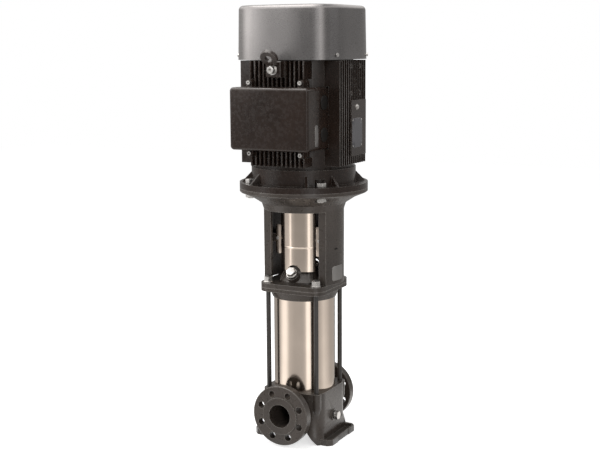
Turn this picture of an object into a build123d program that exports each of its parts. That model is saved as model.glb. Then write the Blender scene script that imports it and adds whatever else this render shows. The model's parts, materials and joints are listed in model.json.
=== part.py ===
from build123d import *
from math import atan, cos, degrees, radians, sin
import os

os.makedirs("parts", exist_ok=True)

# Vertical multistage in-line pump with a flange-mounted motor on top.
# Millimetres, +Z up, origin under the middle of the base, inlet port towards -Y.

# Clearances
fit_gap = 0.05  # radial play of a part located in another, and of a turning fit
turn_gap = 0.3  # least space between a turning part and its neighbours
free_gap = 0.5  # space round a part that only passes through
cut_margin = 5  # how far a cutting shape runs past the face it cuts
edge_chamfer = 1

# Ports
port_height = 90
face_to_face = 300
port_bore_r = 32
port_bore_length = 32
port_throat_r = 26
port_cone_length = 28
neck_r = 42
flange_r = 82.5
flange_thick = 26
raised_face_r = 51
raised_face_height = 3
flange_pcd = 125
flange_hole_count = 8
flange_hole_r = 9.5
flange_chamfer = 1.5

# Base casting
base_height = 142
body_width = 180
body_corner = 40
foot_x = 121
foot_y = 80
foot_inner_x = 60
foot_thick = 17
foot_corner = 12
foot_waist_depth = 2
foot_waist_half = 33
foot_bolt_x = 215
foot_bolt_y = 130
foot_hole_r = 7
trough_width = 24
trough_offset = 4  # from the foot bolts towards the body
trough_length = 146
trough_corner = 11
trough_depth = 8
flare = 9
flare_height = 36
arch_half_width = 82
arch_top_half_width = 46
arch_height = 44
arch_corner = 10
cavity_r = 78
cavity_floor = 56
duct_wall = 9
riser_r = 44
riser_bore_r = 33
riser_floor = 62
riser_crown = 3
inlet_seat_r = 40
inlet_seat_depth = 6
bolt_boss_r = 14
bolt_boss_height = 42
bolt_boss_root_r = 6
bolt_boss_taper_height = 26

# Drain plug in the +X wall
drain_height = 64
drain_boss_r = 16
drain_boss_reach = 3
plug_shank_r = 7
plug_shank_length = 14
plug_collar_r = 12
plug_collar_height = 3
plug_hex_size = 22
plug_hex_height = 8
plug_seal_thick = 2

# Sleeve and staybolts
sleeve_r = 84.75
sleeve_wall = 2.5
sleeve_seat_depth = 6
sleeve_seal_thick = 2
sleeve_visible_length = 255
staybolt_r = 6.5
staybolt_flank = 11.45  # how far a staybolt's axis runs inside the line of the sleeve's flank
staybolt_inset = 23.7  # from the sides of the head plate
staybolt_depth = 30
staybolt_end = 4
nut_size = 22
nut_height = 13
nut_collar_r = 14.5
nut_collar_height = 2.5

# Pump head
head_collar_height = 21
head_collar_r = 88
head_corner = 35
head_plate_thick = 10
dome_r = 70
dome_rim_height = 17
dome_top_r = 46
dome_cone_height = 33
dome_land_height = 6
dome_wall = 13
head_cavity_height = 12
seal_bore_r = 28
seal_bore_depth = 54
dome_rib_thick = 8
dome_rib_height = 6
dome_rib_root = 2
vent_shank_r = 10
vent_boss_r = 18
vent_boss_length = 24
vent_collar_r = 15
vent_collar_height = 4
vent_hex_size = 24
vent_hex_height = 11
vent_y = 78
vent_centre_height = 475
vent_tilt = 45
vent_drill_r = 3
vent_drill_length = 14

# Motor stool
stool_foot_thick = 13
stool_r = 110
stool_leg_half = 56
stool_window_half = 73.5
stool_wall = 9
stool_window_top = 641
stool_ring_inner_r = 98
stool_top = 700
stool_flange_r = 175
stool_flange_thick = 11
stool_flange_chamfer = 2
stool_ring_swell = 6  # growth of the ring from the window up to the flare
stool_ring_height = 18
stool_flare_reach = 34
stool_flare_drop = 12
stool_leg_back = 4
stool_ring_overlap = 1

# Coupling guards
guard_r = 54
guard_offset = 25
guard_sheet = 1.2
guard_bottom = 473
guard_tab_x = 70
guard_tab_y = 34
guard_tab_bottom = 515
guard_tab_top = 596
guard_arch_r = 22
guard_screw_x = 63.5
guard_screw_height = 558
guard_screw_r = 2.5
guard_screw_head_r = 4.75
guard_screw_head = 3
guard_lug_x = 56
guard_lug_half_height = 11
guard_lug_thick = 8

# Motor flange joint
register_r = 125
register_height = 5
motor_bolt_rim = 25  # from the motor flange's rim to the axes of its bolts
motor_flange_thick = 16
motor_bolt_r = 8
motor_bolt_hex = 25
motor_bolt_head = 11
motor_nut_height = 12
motor_bolt_end = 2
bolt_seat_gap = 4  # round a bolt head or nut, for the socket of a spanner

# Drive-end shield
shield_r = 142
shield_wall = 13
shield_root = 8  # thickening of the wall at the motor flange
shield_register_height = 6
shield_lip = 3  # of the bearing seat, beside the bearing
shaft_hole_gap = 9
gusset_root = 2
shield_height = 58
bearing_hub_r = 62
gusset_spread = 15
gusset_thick = 7
gusset_reach = 26
gusset_height = 27

# Finned frame
frame_r = 131
frame_bore_r = 120
frame_top = 1052
fin_reach = 148
fin_pitch = 13
fin_count = 13
fin_thick = 4
fin_bottom = 768
fin_top = 1042
pad_face_x = 150
pad_low_y = -12
pad_high_y = 78
pad_bottom = 790
pad_top = 937

# Terminal box on the -Y side
box_half_x = 115
box_bottom = 813
box_top = 975
box_back_y = -69
box_split_y = -138
box_front_y = -197
box_wall = 4
box_corner = 10
box_edge_r = 8
box_screw_x = 75.5
box_ear_offset = 11
box_ear_r = 8.5
box_ear_front_y = -160
box_ear_back_y = -126
box_screw_r = 3
box_screw_head_r = 5.5
box_screw_head = 6
box_screw_length = 28
entry_y = -106
entry_offset = 41.5
entry_r = 16
entry_cap_r = 19
entry_cap_thick = 2.5
entry_plug_length = 8
board_width = 96
board_height = 72
board_thick = 10
board_leg_inset = 20
board_leg_r = 4
board_back_y = -136
stud_r = 3
stud_length = 26
stud_spacing_x = 28
stud_spacing_z = 36

# Lifting lug on the -Y side
lug_half_width = 22
lug_bottom = 1000
lug_top = 1041
lug_thick = 17
lug_lean = 40  # degrees of the eye away from the frame
lug_eye_y = -186
lug_eye_height = 1050
lug_eye_r = 10
lug_eye_outer_r = 23
lug_eye_thick = 10
lug_neck_bottom = 1033
lug_neck_half_width = 12
lug_chamfer = 2
lug_bolt_height = 1019
lug_bolt_r = 6
lug_washer_r = 13
lug_washer_thick = 3
lug_head_r = 9.5
lug_head_height = 13
lug_pad_half_width = 24
lug_pad_height = 2
lug_thread_length = 20

# Fan-end shield and its screws
fan_shield_thick = 10
end_screw_r = 3
end_screw_hex = 10
end_screw_head = 4

# Fan cover
cover_width = 300
cover_corner = 85
cover_bottom = 1044
cover_height = 141
cover_sheet = 2
cover_taper = 1.2
cover_edge_r = 12
vent_slot_count = 20
vent_slot_width = 7
vent_slot_length = 34
vent_ring_inner_r = 45
vent_ring_outer_r = 90
cover_screw_angle = 17.8
cover_screw_height = 1056
cover_screw_r = 2.5
cover_screw_head_r = 5
cover_screw_head = 3
cover_screw_length = 16
cover_lug_length = 40
cover_lug_width = 14
cover_lug_gap = 1.5  # between the lug and the sheet

# Bearings
bearing_bore_r = 22.5
bearing_outer_r = 50
bearing_width = 25
bearing_pitch_r = 36.25
bearing_ball_r = 8.6
bearing_ball_count = 8
bearing_shoulder = 5.5
cage_height = 21
cage_thick = 4
drive_bearing_bottom = 722
fan_bearing_bottom = 1034

# Motor inner parts
air_gap = 0.8
rotor_r = 74.5
core_bottom = 830
core_length = 160
slot_count = 24
slot_inner_r = 84
slot_depth = 20
slot_width = 8
end_turn_length = 30
end_turn_spread = 6
end_turn_corner = 8
end_ring_length = 12
end_ring_width = 18
end_ring_inset = 2
rotor_bore_r = 27
motor_shaft_r = 21
motor_shaft_drop = 110
fan_seat_r = 17
fan_seat_top = 1118
fan_r = 122
fan_hub_r = 30
fan_bottom = 1074
fan_hub_height = 36
fan_plate_thick = 4
fan_blade_count = 9
fan_blade_height = 40
fan_blade_thick = 4
fan_blade_root = 2  # how far a blade runs into the hub
keyway_width = 12
keyway_depth = 5
keyway_length = 36

# Coupling
coupling_r = 40
coupling_bottom = 524
coupling_top = 652
coupling_split_gap = 2
coupling_screw_x = 30
coupling_screw_r = 4
coupling_screw_head_r = 6.5
coupling_screw_head = 8
coupling_socket_r = 3.5
coupling_seat_gap = 1
coupling_chamfer = 2
coupling_seat_y = 14
coupling_screw_low = 545
coupling_screw_high = 631
coupling_pin_r = 3
coupling_pin_height = 562
coupling_pin_half = 17

# Stages
stage_count = 4
stage_pitch = 54
stack_bottom = 156
inlet_disc_thick = 6
inlet_rim = 5
inlet_rise = 6
inlet_lip = 3
chamber_r = 73
chamber_wall = 2.5
chamber_floor = 3
chamber_eye_r = 32
guide_plate_height = 33
guide_plate_r = 62
guide_plate_thick = 3
guide_count = 6
guide_thick = 3
guide_height = 16
bush_outer_r = 20
bush_height = 10
bush_seat_wall = 5
bush_play = 0.1  # radial, running in the pumped water
impeller_r = 60
impeller_eye_r = 26
impeller_skirt_r = 29.5
impeller_front_height = 8
impeller_skirt_rise = 1
impeller_shroud = 2
impeller_passage = 15
impeller_hub_r = 14
impeller_hub_height = 31
impeller_hub_bottom = 12
vane_count = 6
vane_thick = 3
vane_inner_r = 24
pump_shaft_r = 11
pump_shaft_bottom = 146
pump_shaft_top = 584
end_nut_size = 28
shaft_end_reach = 4  # of the shaft below its nut
discharge_height = 20
discharge_top_thick = 5
discharge_port_count = 8
discharge_port_width = 30
strap_half_width = 10
strap_thick = 3
strap_hook = 6

# Shaft seal
seat_r = 26
seat_height = 10
seat_bore_r = 13
seat_bottom = 462
seal_ring_r = 22
seal_ring_height = 12
seal_drive_r = 19
seal_drive_height = 26
gland_r = 40
gland_thick = 6

# Places that follow from the sizes above
half_face = face_to_face / 2
skirt_width = body_width + 2 * flare
sleeve_bottom = base_height - sleeve_seat_depth
head_bottom = base_height + sleeve_visible_length
head_plate_bottom = head_bottom + head_collar_height
stool_bottom = head_plate_bottom + head_plate_thick
stool_foot_top = stool_bottom + stool_foot_thick
dome_rim_top = stool_bottom + dome_rim_height
dome_shoulder = dome_rim_top + dome_cone_height
dome_top = dome_shoulder + dome_land_height
stool_flange_bottom = stool_top - stool_flange_thick
motor_flange_top = stool_top + motor_flange_thick
frame_bottom = stool_top + shield_height
core_top = core_bottom + core_length
cover_top = cover_bottom + cover_height
riser_top = port_height + port_throat_r + duct_wall + riser_crown
stack_top = stack_bottom + stage_count * stage_pitch
discharge_top = stack_top + discharge_height + discharge_top_thick
box_middle = (box_bottom + box_top) / 2
box_height = box_top - box_bottom
staybolt_spacing = 2 * (sleeve_r - staybolt_flank)
head_width = staybolt_spacing + 2 * staybolt_inset
motor_pcd = 2 * (stool_flange_r - motor_bolt_rim)
box_ear_heights = (box_bottom - box_ear_offset, box_top + box_ear_offset)
fan_shield_top = frame_top + fan_shield_thick

# Planes of the two plugs, at the outer faces of their bosses
drain_face = Plane(
    origin=(body_width / 2 + drain_boss_reach, 0, drain_height), x_dir=(0, 1, 0), z_dir=(1, 0, 0)
)
vent_direction = (0, -sin(radians(vent_tilt)), cos(radians(vent_tilt)))
vent_face = Plane(
    origin=(0, -vent_y, vent_centre_height), x_dir=(1, 0, 0), z_dir=vent_direction
).offset(-vent_hex_height / 2 - vent_collar_height - plug_seal_thick)


# Planes of the four cover screws, square to the rounded corners of the cover
corner_centre = cover_width / 2 - cover_corner
cover_screw_planes = []
for side_x in (-1, 1):
    for side_y in (-1, 1):
        out_x = side_x * cos(radians(cover_screw_angle))
        out_y = side_y * sin(radians(cover_screw_angle))
        screw_origin = (
            side_x * corner_centre + out_x * cover_corner,
            side_y * corner_centre + out_y * cover_corner,
            cover_screw_height,
        )
        cover_screw_planes.append(Plane(origin=screw_origin, x_dir=(0, 0, 1), z_dir=(out_x, out_y, 0)))


# Base: two feet and a square body, with the neck and flanges of both ports
with BuildPart() as pump_base:
    with BuildSketch():
        with BuildLine():
            Polyline(
                (foot_inner_x, 0),
                (foot_inner_x, -foot_y),
                (foot_x - foot_corner, -foot_y),
                (foot_x, foot_corner - foot_y),
                (foot_x, -foot_waist_half - foot_waist_depth),
                (foot_x - foot_waist_depth, -foot_waist_half),
                (foot_x - foot_waist_depth, 0),
                close=True,
            )
        make_face()
        mirror(about=Plane.XZ)
        mirror(about=Plane.YZ)
    extrude(amount=foot_thick)
    with BuildSketch():
        RectangleRounded(body_width, body_width, body_corner)
    extrude(amount=base_height)
    with BuildSketch():
        RectangleRounded(skirt_width, skirt_width, body_corner + flare)
    extrude(amount=foot_thick)
    with BuildSketch(Plane.XY.offset(foot_thick)):
        RectangleRounded(skirt_width, skirt_width, body_corner + flare)
    extrude(amount=flare_height, taper=degrees(atan(flare / flare_height)))
    # troughs along the feet, scooped into the flared wall
    trough_spacing = foot_bolt_x - 2 * trough_offset
    with BuildSketch(Plane.XY.offset(foot_thick - trough_depth)):
        with GridLocations(trough_spacing, 0, 2, 1):
            RectangleRounded(trough_width, trough_length, trough_corner)
    extrude(amount=trough_depth + flare_height, mode=Mode.SUBTRACT)
    # corner bosses that the staybolts screw into
    boss_bottom = base_height - bolt_boss_height
    with BuildSketch(Plane.XY.offset(boss_bottom)):
        with GridLocations(staybolt_spacing, staybolt_spacing, 2, 2):
            Circle(bolt_boss_r)
    extrude(amount=bolt_boss_height)
    boss_taper = degrees(atan((bolt_boss_r - bolt_boss_root_r) / bolt_boss_taper_height))
    with BuildSketch(Plane.XY.offset(boss_bottom - bolt_boss_taper_height)):
        with GridLocations(staybolt_spacing, staybolt_spacing, 2, 2):
            Circle(bolt_boss_root_r)
    extrude(amount=bolt_boss_taper_height, taper=-boss_taper)
    # arched opening between the feet
    with BuildSketch(Plane.XZ):
        Polygon(
            (-arch_half_width, 0),
            (arch_half_width, 0),
            (arch_top_half_width, arch_height),
            (-arch_top_half_width, arch_height),
            align=None,
        )
    extrude(amount=skirt_width / 2 + cut_margin, both=True, mode=Mode.SUBTRACT)
    arch_crown = pump_base.edges().filter_by(Axis.Y).filter_by_position(
        Axis.Z, arch_height - 0.01, arch_height + 0.01
    )
    fillet(arch_crown, arch_corner)
    # port necks, flanges and the drain boss
    with BuildSketch(Plane.XZ):
        with Locations((0, port_height)):
            Circle(neck_r)
    extrude(amount=half_face - flange_thick, both=True)
    for side in (-1, 1):
        port_plane = Plane(
            origin=(0, side * half_face, port_height), x_dir=(1, 0, 0), z_dir=(0, -side, 0)
        )
        with BuildSketch(port_plane):
            Circle(raised_face_r)
        extrude(amount=flange_thick)
        with BuildSketch(port_plane.offset(raised_face_height)):
            Circle(flange_r)
        extrude(amount=flange_thick - raised_face_height)
    flange_rims = pump_base.edges().filter_by(
        lambda edge: edge.geom_type == GeomType.CIRCLE and abs(edge.radius - flange_r) < 0.01
    )
    chamfer(flange_rims, flange_chamfer)
    with BuildSketch(drain_face):
        Circle(drain_boss_r)
    extrude(amount=-(drain_boss_reach + 2 * flare))
    # pressure space round the chamber stack, and the seat of the sleeve
    with BuildSketch(Plane.XY.offset(cavity_floor)):
        Circle(cavity_r)
    extrude(amount=base_height - cavity_floor, mode=Mode.SUBTRACT)
    with BuildSketch(Plane.XY.offset(sleeve_bottom - sleeve_seal_thick)):
        Circle(sleeve_r + fit_gap)
    extrude(amount=sleeve_seat_depth + sleeve_seal_thick, mode=Mode.SUBTRACT)
    # inlet duct to the riser in the middle
    with BuildSketch(Plane.XZ):
        with Locations((0, port_height)):
            Circle(port_throat_r + duct_wall)
    extrude(amount=cavity_r + duct_wall)
    with BuildSketch(Plane.XY.offset(cavity_floor)):
        Circle(riser_r)
    extrude(amount=riser_top - cavity_floor)
    port_profile = (
        (-half_face, 0),
        (-half_face, port_bore_r),
        (port_bore_length - half_face, port_bore_r),
        (port_bore_length + port_cone_length - half_face, port_throat_r),
    )
    for side in (1, -1):
        end_y = 0 if side == 1 else -(riser_r + duct_wall)
        profile = [(side * y, port_height + r) for y, r in port_profile]
        profile += [(side * end_y, port_height + port_throat_r), (side * end_y, port_height)]
        with BuildSketch(Plane.YZ):
            Polygon(*profile, align=None)
        revolve(axis=Axis((0, 0, port_height), (0, 1, 0)), mode=Mode.SUBTRACT)
    with BuildSketch(Plane.XY.offset(riser_floor)):
        Circle(riser_bore_r)
    extrude(amount=riser_top - riser_floor, mode=Mode.SUBTRACT)
    with BuildSketch(Plane.XY.offset(riser_top - inlet_seat_depth)):
        Circle(inlet_seat_r)
    extrude(amount=inlet_seat_depth, mode=Mode.SUBTRACT)
    # bolt holes and the drain hole
    for side in (-1, 1):
        port_plane = Plane(
            origin=(0, side * half_face, port_height), x_dir=(1, 0, 0), z_dir=(0, -side, 0)
        )
        with BuildSketch(port_plane):
            with PolarLocations(flange_pcd / 2, flange_hole_count, 180 / flange_hole_count):
                Circle(flange_hole_r)
        extrude(amount=flange_thick, mode=Mode.SUBTRACT)
    with BuildSketch():
        with GridLocations(foot_bolt_x, foot_bolt_y, 2, 2):
            Circle(foot_hole_r)
    extrude(amount=foot_thick, mode=Mode.SUBTRACT)
    with BuildSketch(Plane.XY.offset(base_height - staybolt_depth)):
        with GridLocations(staybolt_spacing, staybolt_spacing, 2, 2):
            Circle(staybolt_r + fit_gap)
    extrude(amount=staybolt_depth, mode=Mode.SUBTRACT)
    with BuildSketch(drain_face):
        Circle(plug_shank_r)
    extrude(amount=riser_r + cut_margin - drain_face.origin.X, mode=Mode.SUBTRACT)
pump_base.part.label = "pump_base"
export_step(pump_base.part, "parts/pump_base.step")

# Drain plug: hexagon head, collar and shank
drain_seat = drain_face.offset(plug_seal_thick + turn_gap)
with BuildPart() as drain_plug:
    with BuildSketch(drain_seat):
        Circle(plug_shank_r - fit_gap)
    extrude(amount=-plug_shank_length)
    with BuildSketch(drain_seat):
        Circle(plug_collar_r)
    extrude(amount=plug_collar_height)
    with BuildSketch(drain_seat.offset(plug_collar_height)):
        RegularPolygon(plug_hex_size / 2, 6, major_radius=False)
    extrude(amount=plug_hex_height)
    chamfer(drain_plug.faces().sort_by(Axis.X)[-1].edges(), edge_chamfer)
drain_plug.part.label = "drain_plug"
export_step(drain_plug.part, "parts/drain_plug.step")

# Vent plug, on the slanting boss of the head
vent_seat = vent_face.offset(plug_seal_thick + turn_gap)
with BuildPart() as vent_plug:
    with BuildSketch(vent_seat):
        Circle(vent_shank_r - fit_gap)
    extrude(amount=-plug_shank_length)
    with BuildSketch(vent_seat):
        Circle(vent_collar_r)
    extrude(amount=vent_collar_height)
    with BuildSketch(vent_seat.offset(vent_collar_height)):
        RegularPolygon(vent_hex_size / 2, 6, major_radius=False)
    extrude(amount=vent_hex_height)
    vent_cap = vent_plug.faces().sort_by(Axis(vent_seat.origin, vent_seat.z_dir))[-1]
    chamfer(vent_cap.edges(), edge_chamfer)
vent_plug.part.label = "vent_plug"
export_step(vent_plug.part, "parts/vent_plug.step")

# Seal rings under the two plugs
with BuildPart() as plug_seals:
    for face, inner_r, outer_r in (
        (drain_face, plug_shank_r, plug_collar_r),
        (vent_face, vent_shank_r, vent_collar_r),
    ):
        with BuildSketch(face):
            Circle(outer_r - free_gap)
            Circle(inner_r + free_gap, mode=Mode.SUBTRACT)
        extrude(amount=plug_seal_thick)
plug_seals.part.label = "plug_seals"
export_step(plug_seals.part, "parts/plug_seals.step")

# Outer sleeve
sleeve_length = sleeve_visible_length + 2 * sleeve_seat_depth
sleeve_top = sleeve_bottom + sleeve_length
with BuildPart() as outer_sleeve:
    with BuildSketch(Plane.XY.offset(sleeve_bottom)):
        Circle(sleeve_r)
        Circle(sleeve_r - sleeve_wall, mode=Mode.SUBTRACT)
    extrude(amount=sleeve_length)
outer_sleeve.part.label = "outer_sleeve"
export_step(outer_sleeve.part, "parts/outer_sleeve.step")

# Rubber rings under both ends of the sleeve
with BuildPart() as sleeve_seals:
    for seal_bottom in (sleeve_bottom - sleeve_seal_thick, sleeve_top):
        with BuildSketch(Plane.XY.offset(seal_bottom)):
            Circle(sleeve_r - fit_gap)
            Circle(sleeve_r - 2 * sleeve_wall, mode=Mode.SUBTRACT)
        extrude(amount=sleeve_seal_thick)
sleeve_seals.part.label = "sleeve_seals"
export_step(sleeve_seals.part, "parts/sleeve_seals.step")

# Staybolts, screwed into the base, with nuts on the foot of the stool
nut_top = stool_foot_top + nut_collar_height + nut_height
with BuildPart() as staybolts:
    with BuildSketch(Plane.XY.offset(base_height - staybolt_depth)):
        with GridLocations(staybolt_spacing, staybolt_spacing, 2, 2):
            Circle(staybolt_r)
    extrude(amount=nut_top + staybolt_end - base_height + staybolt_depth)
    chamfer(staybolts.edges().group_by(Axis.Z)[-1], edge_chamfer)
staybolts.part.label = "staybolts"
export_step(staybolts.part, "parts/staybolts.step")

with BuildPart() as staybolt_nuts:
    with BuildSketch(Plane.XY.offset(stool_foot_top)):
        with GridLocations(staybolt_spacing, staybolt_spacing, 2, 2):
            Circle(nut_collar_r)
            Circle(staybolt_r + fit_gap, mode=Mode.SUBTRACT)
    extrude(amount=nut_collar_height)
    with BuildSketch(Plane.XY.offset(stool_foot_top + nut_collar_height)):
        with GridLocations(staybolt_spacing, staybolt_spacing, 2, 2):
            RegularPolygon(nut_size / 2, 6, major_radius=False)
            Circle(staybolt_r + fit_gap, mode=Mode.SUBTRACT)
    extrude(amount=nut_height)
staybolt_nuts.part.label = "staybolt_nuts"
export_step(staybolt_nuts.part, "parts/staybolt_nuts.step")

# Pump head: tapered collar, square plate and a ribbed dome with the vent boss
with BuildPart() as pump_head:
    with BuildSketch(Plane.XZ):
        Polygon(
            (0, head_bottom),
            (head_collar_r, head_bottom),
            (head_width / 2, head_plate_bottom),
            (dome_r, stool_bottom),
            (dome_r, dome_rim_top),
            (dome_top_r, dome_shoulder),
            (dome_top_r, dome_top),
            (0, dome_top),
            align=None,
        )
    revolve(axis=Axis.Z)
    with BuildSketch(Plane.XY.offset(head_plate_bottom)):
        RectangleRounded(head_width, head_width, head_corner)
    extrude(amount=head_plate_thick)
    # cast ribs up the dome
    with BuildSketch(Plane.XZ):
        Polygon(
            (dome_top_r - dome_rib_root, dome_rim_top),
            (dome_r, dome_rim_top),
            (dome_r, dome_rim_top + dome_rib_height),
            (dome_top_r, dome_shoulder + dome_rib_height),
            (dome_top_r - dome_rib_root, dome_shoulder + dome_rib_height),
            align=None,
        )
    dome_rib = extrude(amount=dome_rib_thick / 2, both=True, mode=Mode.PRIVATE)
    with PolarLocations(0, 4, 45):
        add(dome_rib)
    with BuildSketch(vent_face):
        Circle(vent_boss_r)
    extrude(amount=-vent_boss_length)
    # space over the stages, left open below
    with BuildSketch(Plane.XZ):
        Polygon(
            (0, head_bottom),
            (cavity_r, head_bottom),
            (cavity_r, head_bottom + head_cavity_height),
            (dome_r - dome_wall, stool_bottom),
            (dome_r - dome_wall, dome_rim_top),
            (seal_bore_r + dome_wall, dome_rim_top + dome_wall),
            (seal_bore_r + dome_wall, dome_top - seal_bore_depth),
            (0, dome_top - seal_bore_depth),
            align=None,
        )
    revolve(axis=Axis.Z, mode=Mode.SUBTRACT)
    with BuildSketch(Plane.XY.offset(dome_top)):
        Circle(seal_bore_r)
    extrude(amount=-seal_bore_depth, mode=Mode.SUBTRACT)
    with BuildSketch(Plane.XY.offset(head_bottom)):
        Circle(sleeve_r + fit_gap)
        Circle(cavity_r - cut_margin, mode=Mode.SUBTRACT)
    extrude(amount=sleeve_seat_depth + sleeve_seal_thick, mode=Mode.SUBTRACT)
    with BuildSketch(Plane.XY.offset(head_plate_bottom)):
        with GridLocations(staybolt_spacing, staybolt_spacing, 2, 2):
            Circle(staybolt_r + free_gap)
    extrude(amount=head_plate_thick, mode=Mode.SUBTRACT)
    with BuildSketch(vent_face):
        Circle(vent_shank_r)
    extrude(amount=-plug_shank_length - cut_margin, mode=Mode.SUBTRACT)
    with BuildSketch(vent_face):
        Circle(vent_drill_r)
    extrude(amount=-plug_shank_length - cut_margin - vent_drill_length, mode=Mode.SUBTRACT)
pump_head.part.label = "pump_head"
export_step(pump_head.part, "parts/pump_head.step")

# Motor stool: square foot, two channel legs, a flared ring and the motor flange
with BuildPart() as motor_stool:
    with BuildSketch(Plane.XY.offset(stool_bottom)):
        RectangleRounded(head_width, head_width, head_corner)
    extrude(amount=stool_foot_thick)
    with BuildSketch(Plane.XY.offset(stool_foot_top)):
        Circle(stool_r)
        Rectangle(4 * stool_r, 2 * stool_leg_half, mode=Mode.INTERSECT)
        Rectangle(2 * stool_window_half, 2 * stool_leg_half, mode=Mode.SUBTRACT)
    extrude(amount=stool_window_top - stool_foot_top)
    with BuildSketch(Plane.XZ):
        Polygon(
            (stool_ring_inner_r, stool_window_top),
            (stool_r, stool_window_top),
            (stool_r + stool_ring_swell / 2, stool_window_top + stool_ring_height / 2),
            (stool_r + stool_ring_swell, stool_window_top + stool_ring_height),
            (stool_r + stool_flare_reach, stool_flange_bottom - stool_flare_drop),
            (stool_flange_r - stool_flange_chamfer, stool_flange_bottom),
            (stool_flange_r, stool_flange_bottom + stool_flange_chamfer),
            (stool_flange_r, stool_top),
            (stool_ring_inner_r, stool_top),
            align=None,
        )
    revolve(axis=Axis.Z)
    # inner corners under the ring, so that the legs run into it
    with BuildSketch(Plane.XY.offset(stool_window_top)):
        Circle(stool_ring_inner_r + stool_ring_overlap)
        Rectangle(4 * stool_r, 2 * stool_leg_half, mode=Mode.INTERSECT)
        Rectangle(2 * stool_window_half, 2 * stool_leg_half, mode=Mode.SUBTRACT)
    extrude(amount=stool_wall)
    # hollow of each leg, open towards the shaft
    with BuildSketch(Plane.XY.offset(stool_foot_top)):
        Circle(stool_r - stool_wall)
        Rectangle(4 * stool_r, 2 * (stool_leg_half - stool_wall), mode=Mode.INTERSECT)
        Rectangle(2 * dome_r, 2 * stool_leg_half, mode=Mode.SUBTRACT)
    extrude(amount=stool_window_top - stool_foot_top, mode=Mode.SUBTRACT)
    # ribs across the hollows, which the guards are screwed to
    guard_lug_end_x = stool_r - stool_wall - stool_leg_back
    with BuildSketch(Plane.XY.offset(guard_screw_height - guard_lug_half_height)):
        for side_x in (-1, 1):
            for side_y in (-1, 1):
                lug_x = side_x * (guard_lug_x + guard_lug_end_x) / 2
                lug_y = side_y * (guard_tab_y - guard_sheet - guard_lug_thick / 2)
                with Locations((lug_x, lug_y)):
                    Rectangle(guard_lug_end_x - guard_lug_x, guard_lug_thick)
    extrude(amount=2 * guard_lug_half_height)
    # head opening, motor register and holes
    with BuildSketch(Plane.XY.offset(stool_bottom)):
        Circle(dome_r + fit_gap)
        with GridLocations(staybolt_spacing, staybolt_spacing, 2, 2):
            Circle(staybolt_r + free_gap)
    extrude(amount=stool_foot_thick, mode=Mode.SUBTRACT)
    with BuildSketch(Plane.XY.offset(stool_top)):
        Circle(register_r + fit_gap)
    extrude(amount=-register_height - free_gap, mode=Mode.SUBTRACT)
    with BuildSketch(Plane.XY.offset(stool_top)):
        with PolarLocations(motor_pcd / 2, 4, 45):
            Circle(motor_bolt_r + free_gap)
    extrude(amount=-stool_flange_thick - motor_nut_height, mode=Mode.SUBTRACT)
    # flat seats for the nuts
    with BuildSketch(Plane.XY.offset(stool_flange_bottom)):
        with PolarLocations(motor_pcd / 2, 4, 45):
            Circle(motor_bolt_hex / 2 + bolt_seat_gap)
    extrude(amount=-motor_nut_height - bolt_seat_gap, mode=Mode.SUBTRACT)
    with BuildSketch(Plane.XZ):
        with GridLocations(2 * guard_screw_x, 0, 2, 1):
            with Locations((0, guard_screw_height)):
                Circle(guard_screw_r + fit_gap)
    extrude(amount=guard_tab_y, both=True, mode=Mode.SUBTRACT)
motor_stool.part.label = "motor_stool"
export_step(motor_stool.part, "parts/motor_stool.step")

# Coupling guards: half-round sheets with side tabs and an arch over the vent plug
with BuildPart() as coupling_guard_front:
    with BuildSketch(Plane.XY.offset(guard_bottom)):
        with Locations((0, -guard_offset)):
            Circle(guard_r)
            Circle(guard_r - guard_sheet, mode=Mode.SUBTRACT)
        with Locations((0, guard_r - guard_tab_y)):
            Rectangle(4 * guard_r, 2 * guard_r, mode=Mode.SUBTRACT)
    extrude(amount=stool_window_top - guard_bottom)
    with BuildSketch(Plane.XY.offset(guard_tab_bottom)):
        for side in (-1, 1):
            with Locations((side * (guard_r - guard_sheet + guard_tab_x) / 2, -guard_tab_y)):
                Rectangle(
                    guard_tab_x - guard_r + guard_sheet,
                    guard_sheet,
                    align=(Align.CENTER, Align.MIN),
                )
    extrude(amount=guard_tab_top - guard_tab_bottom)
    with BuildSketch(Plane.XZ):
        with Locations((0, vent_centre_height)):
            Circle(guard_arch_r)
    extrude(amount=2 * guard_r, mode=Mode.SUBTRACT)
    with BuildSketch(Plane.XZ):
        with GridLocations(2 * guard_screw_x, 0, 2, 1):
            with Locations((0, guard_screw_height)):
                Circle(guard_screw_r + free_gap)
    extrude(amount=guard_r, mode=Mode.SUBTRACT)
coupling_guard_front.part.label = "coupling_guard_front"
export_step(coupling_guard_front.part, "parts/coupling_guard_front.step")

with BuildPart() as coupling_guard_back:
    add(coupling_guard_front.part.rotate(Axis.Z, 180))
coupling_guard_back.part.label = "coupling_guard_back"
export_step(coupling_guard_back.part, "parts/coupling_guard_back.step")

with BuildPart() as guard_screws:
    for side in (-1, 1):
        screw_plane = Plane(
            origin=(0, side * guard_tab_y, guard_screw_height), x_dir=(1, 0, 0), z_dir=(0, side, 0)
        )
        with BuildSketch(screw_plane):
            with GridLocations(2 * guard_screw_x, 0, 2, 1):
                Circle(guard_screw_head_r)
        extrude(amount=guard_screw_head)
        with BuildSketch(screw_plane):
            with GridLocations(2 * guard_screw_x, 0, 2, 1):
                Circle(guard_screw_r)
        extrude(amount=-guard_sheet - guard_lug_thick)
guard_screws.part.label = "guard_screws"
export_step(guard_screws.part, "parts/guard_screws.step")

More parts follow.
